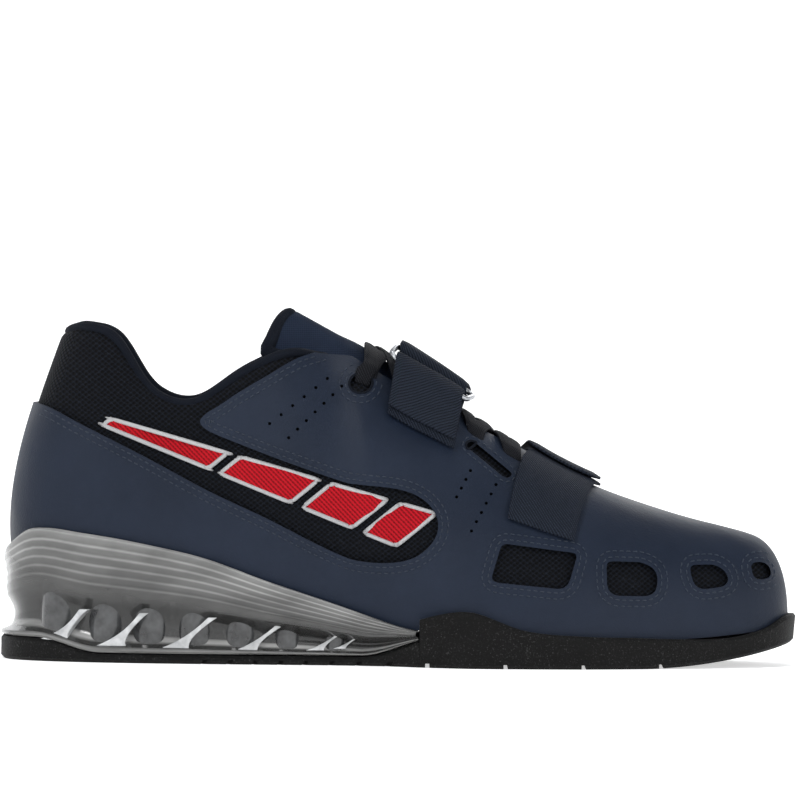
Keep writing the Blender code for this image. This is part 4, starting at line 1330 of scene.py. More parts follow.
# Sole: see-through wedge with blades and posts, speckled rubber with its tread.
SOLE_STEP = 1 / 6
WEDGE_ROWS = 7
CUP_LINES = 5
CUP_LINE_RISE = 0.00030
RIB_PITCH = 0.0049
RIB_GROOVE = 0.0011
RIB_DEPTH = 0.0008
RIB_MARGIN = 0.0045
EDGE_GROOVE_INSET = 0.0135
EDGE_GROOVE_HALF = 0.0004
PIN_RADIUS = 0.0012
PIN_HEIGHT = 0.0016
PIN_RAISE = 0.0010
PIN_COUNT = 20

BLADE_STEPS = 10
BLADE_STEM = 0.0011
BLADE_FOOT = 0.0046
BLADE_TIP = 0.0006
BLADE_SAG = 0.0016
BLADE_INSET = 0.0006
BLADE_ROOT = 0.0010
BLADE_EDGE = 0.0003
BLADE_FULL_RISE = 0.09
POST_COUNT = 7
POST_FIRST = 0.062
POST_PITCH = 0.058
POST_SHIFT = 0.012
POST_RADIUS = 0.0076
POST_LEAST = 0.0022
POST_HEIGHT = 0.58
POST_PROUD = 0.42
POST_FULL_RISE = 0.26
WAIST_FULL_RISE = 0.34

# Slanted blades in the wedge's waist. Shares: x of LENGTH, height of COLLAR_HEIGHT.
BLADES = [
    # low x   low z   high x  high z
    (0.070, 0.064, 0.108, 0.158),
    (0.143, 0.050, 0.184, 0.150),
    (0.222, 0.044, 0.270, 0.139),
    (0.310, 0.038, 0.353, 0.117),
    (0.398, 0.044, 0.430, 0.098),
    (0.428, 0.050, 0.452, 0.088),
]


def ring(samples, point):
    """Closed loop of points up the lateral side and back down the medial one."""
    return [point(LATERAL, s) for s in samples] + [point(MEDIAL, s) for s in reversed(samples)]


def clamp_behind(point):
    """Keeps a point of the wedge behind the rubber's step."""
    return (min(point[0], WEDGE_END - LAYER_GAP), *point[1:])


def clamp_step(station, point):
    """Keeps a point of the rubber on its own side of the step in front of the wedge."""
    limit = min if station <= WEDGE_FRONT else max
    return (limit(point[0], WEDGE_END), *point[1:])


def loft(name, rings):
    """Solid through rings of equal length, its two ends closed by rungs across the shoe."""
    size = len(rings[0])
    points = [point for loop in rings for point in loop]
    faces = []
    for k in range(len(rings) - 1):
        low, high = k * size, (k + 1) * size
        for j in range(size):
            step = (j + 1) % size
            faces.append((low + j, low + step, high + step, high + j))
    for start in (0, (len(rings) - 1) * size):
        for j in range(size // 2 - 1):
            faces.append((start + j, start + j + 1, start + size - 2 - j, start + size - 1 - j))
    return add_object(name, build_mesh(name, points, faces, triangulate=True))


def inner_plan(side, station, height):
    """Inner face of the cup or rim: clear of the leather by the sole's gap."""
    past = station - WEDGE_FRONT
    corner = max(3.5 - 4 * past, 0) * SOLE_GAP if past > 0 else 0
    return body_plan_at(side, station, height, LEATHER + LAYER_GAP + SOLE_GAP + corner)


def outset_plan(side, station, inset):
    return outline_point(side, station) - outward(side, station) * inset


def shell_plan(side, station, height, inset, wall):
    """Outer face of cup or rim: inside the outline by inset, yet a wall outside the leather."""
    edge = outline_point(side, station)
    out = outward(side, station)
    reach = float((inner_plan(side, station, height) - edge) @ out) + wall
    return edge + out * max(-inset, reach)


def stadium(length, width, centre_x, centre_y, corner_steps=10):
    radius = width / 2
    outline = []
    for end in (1, -1):
        for k in range(corner_steps + 1):
            angle = math.pi * (k / corner_steps - 0.5) + (0 if end > 0 else math.pi)
            middle = centre_x + end * (length / 2 - radius)
            outline.append((middle + radius * math.cos(angle), centre_y + radius * math.sin(angle)))
    return outline


def flat_prism(name, outline, low, high):
    """Plan outline between two heights; the top height may be a rule of x."""
    size = len(outline)
    points = [(x, y, low) for x, y in outline]
    points += [(x, y, high(x) if callable(high) else high) for x, y in outline]
    faces = [(j, (j + 1) % size, size + (j + 1) % size, size + j) for j in range(size)]
    faces.append(tuple(range(size)))
    faces += [
        (size + j, size + j + 1, 2 * size - 2 - j, 2 * size - 1 - j) for j in range(size // 2 - 1)
    ]
    return add_object(name, build_mesh(name, points, faces, triangulate=True))


def joined_shape(name, fill):
    """Object from one bmesh that fill adds its forms to."""
    shape = bmesh.new()
    fill(shape)
    bmesh.ops.recalc_face_normals(shape, faces=shape.faces)
    mesh = bpy.data.meshes.new(name)
    shape.to_mesh(mesh)
    shape.free()
    return add_object(name, mesh)


def rubber_paint():
    """Matt rubber with fine light specks."""
    paint, tree, shader = new_paint("speckled_rubber")
    place = place_coordinates(tree)
    specks = noise(tree, place, 1500, 2, 0.7)
    slow = noise(tree, place, 60, 3)
    mixed = math_node(tree, "ADD", specks, math_node(tree, "MULTIPLY", slow, 0.15))
    dark, middle, light = (0.0015,) * 3, (0.006,) * 3, (0.06,) * 3
    stops = [(0.58, dark), (0.70, middle), (0.84, light)]
    tree.links.new(ramp(tree, mixed, stops), shader.inputs["Base Color"])
    bump(tree, shader, specks, 0.0004, 0.7)
    shader.inputs["Roughness"].default_value = 0.6
    shader.inputs["Specular IOR Level"].default_value = 0.15
    return paint


def glassy_paint():
    """Grey see-through plastic: milky cup with light lines, dark waist, and painted highlights along the
    foot and the flange's top.
    """
    paint, tree, shader = new_paint("see_through_plastic")
    place = place_coordinates(tree)
    cloudy = noise(tree, place, 70, 3)
    level = add_node(tree, "ShaderNodeAttribute", attribute_name="level").outputs["Fac"]
    # Grey by height. The light bands at levels 0 to 0.03 and 0.11 to 0.14 are painted highlights on the
    # foot's edge and on the flange's top.
    grey_and_painted_highlight = [(0.0, 0.34), (0.03, 0.26), (0.05, 0.07), (0.08, 0.10), (0.11, 0.62), (0.14, 0.50)]
    grey_and_painted_highlight += [(0.165, 0.06), (0.30, 0.028), (0.42, 0.045), (0.52, 0.10)]
    for line in range(CUP_LINES):
        middle = 0.58 + 0.080 * line
        around = 0.095 + 0.030 * line
        grey_and_painted_highlight += [(middle - 0.018, around), (middle, around * 2.3), (middle + 0.018, around)]
    grey_and_painted_highlight += [(0.965, 0.26), (1.0, 0.58)]
    shade = ramp(tree, level, [(at, (value, value, value * 0.98)) for at, value in grey_and_painted_highlight])
    patchy = noise(tree, place_coordinates(tree, (0.5, 0.5, 1.6)), 55, 4)
    clouds = ramp(tree, patchy, [(0.35, (0.55,) * 3), (0.62, (1.0,) * 3)])
    mixed = add_node(tree, "ShaderNodeMix", data_type="RGBA", blend_type="MULTIPLY")
    mixed.inputs[0].default_value = 1
    tree.links.new(shade, mixed.inputs[6])
    tree.links.new(clouds, mixed.inputs[7])
    tree.links.new(mixed.outputs[2], shader.inputs["Base Color"])
    tree.links.new(span(tree, cloudy, 0.3, 0.7, 0.10, 0.24), shader.inputs["Roughness"])
    shader.inputs["Transmission Weight"].default_value = 0.30
    shader.inputs["IOR"].default_value = 1.45
    shader.inputs["Coat Weight"].default_value = 0.35
    shader.inputs["Coat Roughness"].default_value = 0.12
    waves = noise(tree, place, 160, 2)
    bump(tree, shader, waves, 0.0005, 0.25)
    return paint


def clear_paint():
    """Light, glossy plastic of the blades."""
    paint, tree, shader = new_paint("clear_blade")
    place = place_coordinates(tree)
    cloudy = noise(tree, place, 300, 3)
    shade = ramp(tree, cloudy, [(0.3, (0.50, 0.51, 0.52)), (0.7, (0.82, 0.83, 0.84))])
    tree.links.new(shade, shader.inputs["Base Color"])
    shader.inputs["Transmission Weight"].default_value = 0.25
    shader.inputs["Roughness"].default_value = 0.15
    shader.inputs["Coat Weight"].default_value = 0.5
    return paint


def post_paint():
    """Dark, glossy plastic of the round posts."""
    paint, tree, shader = new_paint("smoky_post")
    place = place_coordinates(tree)
    cloudy = noise(tree, place, 200, 2)
    shade = ramp(tree, cloudy, [(0.3, (0.018, 0.018, 0.019)), (0.7, (0.060, 0.062, 0.064))])
    tree.links.new(shade, shader.inputs["Base Color"])
    shader.inputs["Roughness"].default_value = 0.12
    shader.inputs["Coat Weight"].default_value = 0.6
    return paint


rubber = rubber_paint()
glassy = glassy_paint()
clear_plastic = clear_paint()
smoky_plastic = post_paint()


def groove_boxes(shape):
    """Slanted grooves beside the window and wide grooves across the forefoot."""
    slant = math.radians(33)
    first = WINDOW_CENTRE_X - WINDOW_LENGTH / 2 + 0.18 * WINDOW_LENGTH
    count = int(GROOVE_RUN * WINDOW_LENGTH / GROOVE_PITCH)
    side_run = BALL_WIDTH * 0.30
    boxes = []
    for side in (LATERAL, MEDIAL):
        for k in range(count):
            inner = WINDOW_CENTRE_Y + side * (WINDOW_WIDTH / 2 + GROOVE_MARGIN)
            middle_x = first + k * GROOVE_PITCH + math.tan(slant) * side_run / 2
            middle = (middle_x, inner + side * side_run / 2)
            boxes.append((middle, side_run / math.cos(slant), -side * slant, GROOVE_WIDTH, GROOVE_DEPTH))
    along = stations(2, LAST_STATION - 1, 0.25)
    edges = [
        tuple(zip(*(outline_point(side, s)[:2] for s in along))) for side in (LATERAL, MEDIAL)
    ]
    across = x_of(0.538)
    wide = []
    while across < x_of(0.90):
        wide.append(across)
        across += CROSS_GROOVE_PITCH
    thin = x_of(0.538) + RIB_PITCH
    while thin < x_of(0.965):
        if min(abs(thin - place) for place in wide) > RIB_PITCH / 2:
            low, high = (float(np.interp(thin, xs, ys)) for xs, ys in edges)
            run = high - low - 2 * RIB_MARGIN
            boxes.append(((thin, (low + high) / 2), run, 0, RIB_GROOVE, RIB_DEPTH))
        thin += RIB_PITCH
    boxes += [((place, 0), BALL_WIDTH * 1.4, 0, GROOVE_WIDTH, GROOVE_DEPTH) for place in wide]
    for (x, y), length, turn, width, depth in boxes:
        top = depth + floor_height(x)
        size = (width, length, 2 * depth + top, 1)
        place = Matrix.Translation((x, y, top / 2 - depth))
        turned = place @ Matrix.Rotation(turn, 4, "Z") @ Matrix.Diagonal(size)
        bmesh.ops.create_cube(shape, size=1, matrix=turned)


def edge_groove(name):
    """Thin groove under the sole that follows its outline."""
    around = [(LATERAL, s) for s in stations(0.6, LAST_STATION - 0.6, 0.25)]
    around += [(MEDIAL, s) for s in reversed(stations(0.6, LAST_STATION - 0.6, 0.25))]
    half = EDGE_GROOVE_HALF
    points = []
    for side, station in around:
        for inset, level in ((-half, -1), (half, -1), (half, 1), (-half, 1)):
            x, y = outset_plan(side, station, EDGE_GROOVE_INSET + inset)
            low = floor_height(x)
            points.append((x, y, low + (RIB_DEPTH if level > 0 else -2 * RIB_DEPTH)))
    faces = []
    count = len(around)
    for k in range(count):
        a, b = 4 * k, 4 * ((k + 1) % count)
        faces += [(a + j, a + (j + 1) % 4, b + (j + 1) % 4, b + j) for j in range(4)]
    return add_object(name, build_mesh(name, points, faces, triangulate=True))


def make_outsole():
    def rim_top(side, station):
        if station <= WEDGE_FRONT:
            return rubber_height(outline_point(side, station)[0])
        return rim_height(side, station)

    def upper_edge(side, station, drop, inset):
        height = rim_top(side, station) - drop
        if station <= WEDGE_FRONT:
            plan = outset_plan(side, station, inset)
        else:
            plan = shell_plan(side, station, height, inset, RIM_WALL - inset)
        return clamp_step(station, (*plan, height))

    def inner_edge(side, station):
        height = rim_top(side, station)
        if station <= WEDGE_FRONT:
            plan = outset_plan(side, station, 4 * EDGE_BEVEL)
        else:
            plan = inner_plan(side, station, height)
        return clamp_step(station, (*plan, height))

    def inner_bed(side, station):
        x = outline_point(side, station)[0]
        if station <= WEDGE_FRONT:
            height = min(rubber_height(x), bed_height(x) - BED_SOLID)
            plan = outset_plan(side, station, 5 * EDGE_BEVEL)
        else:
            height = bed_height(x)
            plan = inner_plan(side, station, height)
        return clamp_step(station, (*plan, height))

    def low_edge(side, station, rise, inset):
        plan = outset_plan(side, station, inset)
        ground = floor_height(outline_point(side, station)[0])
        return clamp_step(station, (*plan, ground + rise))

    samples = stations(0, 8.5, SOLE_STEP) + [WEDGE_FRONT, WEDGE_FRONT + 0.04]
    samples += stations(9.25, LAST_STATION, SOLE_STEP)
    rings = [
        ring(samples, lambda side, s: low_edge(side, s, 0, EDGE_BEVEL)),
        ring(samples, lambda side, s: low_edge(side, s, EDGE_BEVEL, 0)),
        ring(samples, lambda side, s: upper_edge(side, s, EDGE_BEVEL * 0.8, 0)),
        ring(samples, lambda side, s: upper_edge(side, s, 0, EDGE_BEVEL * 0.6)),
        ring(samples, inner_edge),
        ring(samples, inner_bed),
    ]
    outsole = loft("rubber_sole", rings)
    window = stadium(WINDOW_LENGTH, WINDOW_WIDTH, WINDOW_CENTRE_X, WINDOW_CENTRE_Y)
    cutters = [
        flat_prism("window_cutter", window, -RUBBER_HEEL, 2 * RUBBER_HEEL),
        joined_shape("tread_cutter", groove_boxes),
        edge_groove("edge_cutter"),
    ]
    cut_with(outsole, cutters)
    finish_piece(outsole, rubber, 30)
    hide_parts("outsole")


def cell_ceiling(x):
    """Top of the hollow under the wedge, which stays below the footbed."""
    return min(rubber_height(x) + CELL_DEPTH, bed_height(x) - CELL_ROOF)


def make_wedge():
    def base(side, station):
        return rubber_height(outline_point(side, station)[0]) + SOLE_JOINT

    def rise(side, station):
        return cup_height(station) - base(side, station)

    def outline_level(side, station, share, inset):
        height = base(side, station) + rise(side, station) * share
        return clamp_behind((*outset_plan(side, station, inset), height))

    def waist_level(side, station, share, part=1.0):
        full = WAIST_FULL_RISE * COLLAR_HEIGHT
        depth = WAIST_DEPTH * part * min(rise(side, station) / full, 1)
        return outline_level(side, station, share, depth)

    def cup_level(side, station, share, wall):
        height = base(side, station) + rise(side, station) * share
        return clamp_behind((*shell_plan(side, station, height, CUP_INSET, wall), height))

    def inside(side, station, height):
        return clamp_behind((*inner_plan(side, station, height), height))

    def bed(side, station):
        return bed_height(outline_point(side, station)[0])

    samples = stations(0, 8.5, 1 / 8) + [8.62, 8.75, WEDGE_FRONT - 0.03]
    foot = [
        ring(samples, lambda side, s: outline_level(side, s, 0, 5 * EDGE_BEVEL)),
        ring(samples, lambda side, s: outline_level(side, s, 0, 4 * EDGE_BEVEL)),
        ring(samples, lambda side, s: outline_level(side, s, 0, EDGE_BEVEL * 0.6)),
        ring(samples, lambda side, s: outline_level(side, s, 0.02, 0)),
    ]
    guides = [
        ring(samples, lambda side, s: outline_level(side, s, 0.05, 0)),
        ring(samples, lambda side, s: waist_level(side, s, 0.10, 0.72)),
        ring(samples, lambda side, s: waist_level(side, s, 0.19)),
        ring(samples, lambda side, s: waist_level(side, s, 0.32, 0.96)),
        ring(samples, lambda side, s: cup_level(side, s, 0.50, CUP_WALL)),
        ring(samples, lambda side, s: cup_level(side, s, 0.72, CUP_WALL)),
        ring(samples, lambda side, s: cup_level(side, s, 0.94, CUP_WALL * 0.9)),
    ]
    faces = smooth_loop([np.array(guide) for guide in guides], WEDGE_ROWS, closed=False)
    ways = np.array([(*outward(side, s), 0) for side, s in ring(samples, lambda side, s: (side, s))])
    first_line = 4 * WEDGE_ROWS - 3
    for k, loop in enumerate(faces[first_line:]):
        turn = 2 * math.pi * CUP_LINES * k / (len(faces) - 1 - first_line)
        loop[:] = loop + ways * CUP_LINE_RISE * (0.5 - 0.5 * math.cos(turn)) ** 2
        loop[:, 0] = np.minimum(loop[:, 0], WEDGE_END - LAYER_GAP)
    top = [
        ring(samples, lambda side, s: cup_level(side, s, 0.985, CUP_WALL * 0.75)),
        ring(samples, lambda side, s: cup_level(side, s, 1.00, CUP_WALL * 0.4)),
        ring(samples, lambda side, s: inside(side, s, cup_height(s))),
        ring(samples, lambda side, s: inside(side, s, (cup_height(s) + bed(side, s)) / 2)),
        ring(samples, lambda side, s: inside(side, s, bed(side, s))),
    ]
    wedge = loft("clear_wedge", foot + [list(map(tuple, loop)) for loop in faces] + top)
    outline = stadium(WINDOW_LENGTH, WINDOW_WIDTH, WINDOW_CENTRE_X, WINDOW_CENTRE_Y)
    cells = flat_prism("cell_cutter", outline, -RUBBER_HEEL, cell_ceiling)
    pitch = (WINDOW_LENGTH - 2 * COLUMN_RADIUS) / COLUMN_COUNT
    columns = []
    for k in range(COLUMN_COUNT):
        x = WINDOW_CENTRE_X + (k - (COLUMN_COUNT - 1) / 2) * pitch
        columns.append(stadium(2 * COLUMN_RADIUS + 1e-5, 2 * COLUMN_RADIUS, x, WINDOW_CENTRE_Y))
    posts = [flat_prism("column_cutter", c, RUBBER_PLATE, 0.4 * COLLAR_HEIGHT) for c in columns]
    cut_with(cells, posts)
    cut_with(wedge, [cells])
    mark_levels(wedge)
    finish_piece(wedge, glassy, 40)
    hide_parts("wedge")


def mark_levels(wedge):
    """Height of each point between the wedge's foot, 0, and its cup's edge, 1."""
    along = stations(0, WEDGE_FRONT, 1 / 4)
    xs = [outline_point(LATERAL, s)[0] for s in along]
    feet = [rubber_height(x) + SOLE_JOINT for x in xs]
    cups = [cup_height(s) for s in along]
    level = wedge.data.attributes.new("level", "FLOAT", "POINT")
    for vertex, item in zip(wedge.data.vertices, level.data):
        foot = np.interp(vertex.co.x, xs, feet)
        cup = np.interp(vertex.co.x, xs, cups)
        item.value = float(np.clip((vertex.co.z - foot) / max(cup - foot, 1e-4), 0, 1))


def station_near(side, x):
    """Station of the wedge's outline at x."""
    low, high = 0.0, 9.0
    for _ in range(20):
        middle = (low + high) / 2
        if outline_point(side, middle)[0] < x:
            low = middle
        else:
            high = middle
    return low


def make_blades():
    """Slanted blades across the waist and round posts behind them, on both sides."""

    def fill_blades(shape):
        for side in (LATERAL, MEDIAL):
            for low_x, low_z, high_x, high_z in BLADES:
                size = min((high_z - low_z) / BLADE_FULL_RISE, 1)
                sections = []
                for k in range(BLADE_STEPS + 1):
                    t = k / BLADE_STEPS
                    x = x_of(low_x + (high_x - low_x) * t)
                    z = COLLAR_HEIGHT * (low_z + (high_z - low_z) * t)
                    half = size * (BLADE_STEM + BLADE_FOOT * (1 - t) ** 4 + BLADE_TIP * t**6)
                    sag = BLADE_SAG * math.sin(math.pi * t) ** 2 * size
                    corners = []
                    for shift, inset in ((-half, 0), (half, 0), (half, 1), (-half, 1)):
                        near = station_near(side, x + shift)
                        depth = WAIST_DEPTH + BLADE_ROOT if inset else BLADE_INSET + sag
                        plan = outset_plan(side, near, depth)
                        corners.append(shape.verts.new((*plan, z)))
                    sections.append(corners)
                for a, b in zip(sections, sections[1:]):
                    for j in range(4):
                        shape.faces.new((a[j], a[(j + 1) % 4], b[(j + 1) % 4], b[j]))
                shape.faces.new(sections[0])
                shape.faces.new(sections[-1][::-1])

    def fill_posts(shape):
        for side in (LATERAL, MEDIAL):
            for number in range(POST_COUNT):
                share = POST_FIRST + POST_PITCH * number + (POST_SHIFT if number else 0)
                x = x_of(share)
                station = station_near(side, x)
                low = rubber_height(x) + SOLE_JOINT
                rise = cup_height(station) - low
                radius = POST_RADIUS * min(rise / (POST_FULL_RISE * COLLAR_HEIGHT), 1)
                if radius < POST_LEAST:
                    continue
                deep = WAIST_DEPTH * min(rise / (WAIST_FULL_RISE * COLLAR_HEIGHT), 1)
                plan = outset_plan(side, station, deep + radius - POST_PROUD * deep)
                height = rise * POST_HEIGHT
                bmesh.ops.create_cone(
                    shape,
                    cap_ends=True,
                    segments=28,
                    radius1=radius * 1.05,
                    radius2=radius * 0.95,
                    depth=height,
                    matrix=Matrix.Translation((*plan, low + height / 2)),
                )

    blades = joined_shape("wedge_blades", fill_blades)
    edge = blades.modifiers.new("edge", "BEVEL")
    edge.width = BLADE_EDGE
    edge.segments = 2
    finish_piece(blades, clear_plastic, 40)
    posts = joined_shape("wedge_posts", fill_posts)
    finish_piece(posts, smoky_plastic, 40)


def make_pins():
    """Small round red pins in the groove under the sole."""
    paint, _, shader = new_paint("red_pin")
    shader.inputs["Base Color"].default_value = (0.50, 0.012, 0.016, 1)
    shader.inputs["Roughness"].default_value = 0.35

    def fill(shape):
        for k in range(PIN_COUNT):
            place = RING_LENGTH * (k + 0.5) / PIN_COUNT
            side = LATERAL if place <= LAST_STATION else MEDIAL
            station = place if side == LATERAL else RING_LENGTH - place
            station = min(max(station, 0.8), LAST_STATION - 0.8)
            x, y = outset_plan(side, station, EDGE_GROOVE_INSET)
            bmesh.ops.create_cone(
                shape,
                cap_ends=True,
                segments=20,
                radius1=PIN_RADIUS * 0.9,
                radius2=PIN_RADIUS,
                depth=PIN_HEIGHT,
                matrix=Matrix.Translation((x, y, floor_height(x) + PIN_RAISE)),
            )

    finish_piece(joined_shape("tread_pins", fill), paint, 40)


# Trim on the sides: cloth bar, stitch rows, pinholes and the laces' ends.
STITCH_LENGTH = 0.0017
STITCH_PITCH = 0.0025
STITCH_RADIUS = 0.00024
STITCH_ROWS = (0.0016, 0.0038)
HOLE_RADIUS = 0.00062
BAR_RAISE = 0.0009
BORDER_RADIUS = 0.0008
BORDER_ROUNDING = 0.0018
LINING_RADIUS = 0.0005
TOP_LACE_AT = (0.452, 0.842)
TOP_LACE_STEPS = 18
TOP_LACE_DIVE = 0.0034
TOP_LACE_BOW = 0.0035

# The cloth bar's segments. Shares: of the bar's length from the narrow end.
BAR_START = (0.135, 0.716)
BAR_END = (0.522, 0.409)
BAR_HALF_START = 0.0016
BAR_HALF_END = 0.0080
BAR_SLANT = 0.0050
BAR_SEGMENTS = [
    # from   to
    (0.00, 0.36),
    (0.40, 0.64),
    (0.68, 0.85),
    (0.89, 1.00),
]

# Rows of pinholes in the leather. Shares: x of LENGTH, height of COLLAR_HEIGHT.
PINHOLES = [
    # from x from z  to x   to z   count
    (0.409, 0.854, 0.338, 0.719, 6),
    (0.427, 0.832, 0.362, 0.678, 7),
    (0.589, 0.585, 0.572, 0.508, 4),
    (0.621, 0.544, 0.591, 0.408, 6),
]


def surface_of(obj):
    bpy.context.view_layer.update()
    return BVHTree.FromObject(obj, bpy.context.evaluated_depsgraph_get())


def side_hit(surface, x, z, side):
    """First place and normal that a level look from one side of the shoe meets."""
    start = Vector((float(x), side * BALL_WIDTH, float(z)))
    place, normal, _, _ = surface.ray_cast(start, Vector((0, -side, 0)))
    if place is None:
        return None, None
    return np.array(place), np.array(normal)


def outer_side(points):
    """1 if the area to a closed outline's right is outside it, -1 if it is to its left."""
    table = np.array(points)
    after = np.roll(table, -1, axis=0)
    area = float((table[:, 0] * after[:, 1] - after[:, 0] * table[:, 1]).sum())
    return 1 if area > 0 else -1


def moved_outline(points, distance):
    """Closed side outline moved outwards by a distance."""
    table = np.array(points)
    along = np.roll(table, -1, axis=0) - np.roll(table, 1, axis=0)
    along /= np.maximum(np.linalg.norm(along, axis=1), 1e-9)[:, None]
    away = np.stack((along[:, 1], -along[:, 0]), axis=1) * outer_side(points)
    return table + away * distance


def even_steps(points, pitch):
    """Pairs of start and end along a closed outline, one pair for each pitch."""
    table = np.array([*points, points[0]])
    lengths = np.linalg.norm(np.diff(table, axis=0), axis=1)
    reach = np.concatenate(([0], np.cumsum(lengths)))
    count = max(int(reach[-1] / pitch), 1)
    pairs = []
    for k in range(count):
        at = reach[-1] * (k + 0.5) / count
        ends = [at - STITCH_LENGTH / 2, at + STITCH_LENGTH / 2]
        pairs.append([[float(np.interp(e, reach, table[:, j])) for j in (0, 1)] for e in ends])
    return pairs


def add_stitch(points, faces, start, end, normal):
    """One short thread that dips into the cloth at both ends."""
    along = end - start
    length = np.linalg.norm(along)
    if length < 1e-5:
        return
    along /= length
    across = np.cross(normal, along)
    first = len(points)
    for t, size, lift in ((0, 0.45, -0.6), (0.22, 1, 0.55), (0.78, 1, 0.55), (1, 0.45, -0.6)):
        middle = start + along * length * t + normal * STITCH_RADIUS * lift
        for k in range(6):
            turn = math.pi * k / 3
            out = across * math.cos(turn) + normal * math.sin(turn)
            points.append(middle + out * STITCH_RADIUS * size)
    for row in range(3):
        a, b = first + row * 6, first + (row + 1) * 6
        faces += [(a + k, a + (k + 1) % 6, b + (k + 1) % 6, b + k) for k in range(6)]
    faces.append(tuple(range(first + 5, first - 1, -1)))
    faces.append(tuple(range(first + 18, first + 24)))


def stitched_outlines():
    outlines = {}
    for name, shares in LEATHER_CUTS.items():
        points = side_points(shares)
        if name == "knit":
            outlines[name] = knit_outline(points)
        else:
            outlines[name] = rounded(points, CUT_ROUNDING)
    return outlines


def make_stitches(leather_face, knit_face):
    thread, _, shader = new_paint("navy_thread")
    shader.inputs["Base Color"].default_value = (0.012, 0.021, 0.039, 1)
    shader.inputs["Roughness"].default_value = 0.6
    points, faces = [], []
    for name, outline in stitched_outlines().items():
        rows = STITCH_ROWS[:1] if name == "lace_slot" else STITCH_ROWS
        for distance in rows:
            for start, end in even_steps(moved_outline(outline, distance), STITCH_PITCH):
                for side in (LATERAL, MEDIAL):
                    a, normal = side_hit(leather_face, *start, side)
                    b, _ = side_hit(leather_face, *end, side)
                    under, _ = side_hit(knit_face, *start, side)
                    if a is None or b is None or under is None:
                        continue
                    above = (a[1] - under[1]) * side
                    if not LEATHER * 0.4 < above < 3 * LEATHER + 0.0015:
                        continue
                    if np.linalg.norm(b - a) < 2.2 * STITCH_LENGTH:
                        add_stitch(points, faces, a, b, normal)
    mesh = build_mesh("stitches", points, faces)
    finish_piece(add_object("stitches", mesh), thread, 0)


def pinhole_cutter(shape):
    for from_x, from_z, to_x, to_z, count in PINHOLES:
        for k in range(count):
            t = k / (count - 1)
            x = x_of(from_x + (to_x - from_x) * t)
            z = COLLAR_HEIGHT * (from_z + (to_z - from_z) * t)
            place = Matrix.Translation((x, 0, z)) @ Matrix.Rotation(math.pi / 2, 4, "X")
            bmesh.ops.create_cone(
                shape,
                cap_ends=True,
                segments=10,
                radius1=HOLE_RADIUS,
                radius2=HOLE_RADIUS,
                depth=2 * BALL_WIDTH,
                matrix=place,
            )


def bar_outline(low, high):
    """Corners of one segment of the cloth bar in the side view, with slanted ends."""
    start, end = (np.array((x_of(x), z * COLLAR_HEIGHT)) for x, z in (BAR_START, BAR_END))
    along = (end - start) / np.linalg.norm(end - start)
    up = np.array((-along[1], along[0]))
    corners = []
    for share, way in ((low, 1), (high, 1), (high, -1), (low, -1)):
        half = BAR_HALF_START + (BAR_HALF_END - BAR_HALF_START) * share
        lean = BAR_SLANT * way * half / BAR_HALF_END
        corners.append(start + (end - start) * share + along * lean + up * way * half)
    return corners


def make_block(name, corners, knit_face, side, paint):
    """Slab of cloth that lies on the knit inside four side-view corners."""
    across, along = 8, 16
    points, places = [], []
    for level in (BAR_RAISE, -0.0006):
        for i in range(along + 1):
            top = corners[0] + (corners[1] - corners[0]) * i / along
            foot = corners[3] + (corners[2] - corners[3]) * i / along
            for j in range(across + 1):
                x, z = top + (foot - top) * j / across
                place, normal = side_hit(knit_face, x, z, side)
                points.append(place + normal * level)
                places.append((x, z))
    step = across + 1
    size = (along + 1) * step
    faces = []
    for i in range(along):
        for j in range(across):
            a = i * step + j
            faces.append((a, a + 1, a + step + 1, a + step))
            faces.append((size + a, size + a + step, size + a + step + 1, size + a + 1))
    border = [i * step for i in range(along + 1)]
    border += [along * step + j for j in range(1, across + 1)]
    border += [i * step + across for i in range(along - 1, -1, -1)]
    border += [j for j in range(across - 1, 0, -1)]
    for a, b in zip(border, border[1:] + border[:1]):
        faces.append((a, b, size + b, size + a))
    finish_piece(woven_object(name, points, faces, places), paint, 40)


def make_bar(knit_face):
    """Tapered bar of red cloth in graded segments, each with a pale piped border."""
    red = webbing_paint("red_satin", (0.16, 0.002, 0.005), (0.46, 0.006, 0.014), 0.0009)
    pale = cloth_paint("pale_border", (0.30, 0.30, 0.31), (0.62, 0.62, 0.63), 0.0005)
    for side, word in ((LATERAL, "outer"), (MEDIAL, "inner")):
        for number, (low, high) in enumerate(BAR_SEGMENTS, 1):
            corners = bar_outline(low, high)
            make_block(f"red_block_{word}_{number}", corners, knit_face, side, red)
            path = []
            for x, z in rounded(corners, BORDER_ROUNDING, 4):
                place, normal = side_hit(knit_face, x, z, side)
                path.append(place + normal * BAR_RAISE * 0.75)
            piping = soft_tube(f"pale_piping_{word}_{number}", path, BORDER_RADIUS, True)
            finish_piece(piping, pale, 0)


def share_at(side, x, z):
    """Share of the section whose surface passes a side-view point."""
    low, high = 0.3, 0.99
    for _ in range(16):
        middle = (low + high) / 2
        if over_sheet(side, middle, x, 0)[2] < z:
            low = middle
        else:
            high = middle
    return low


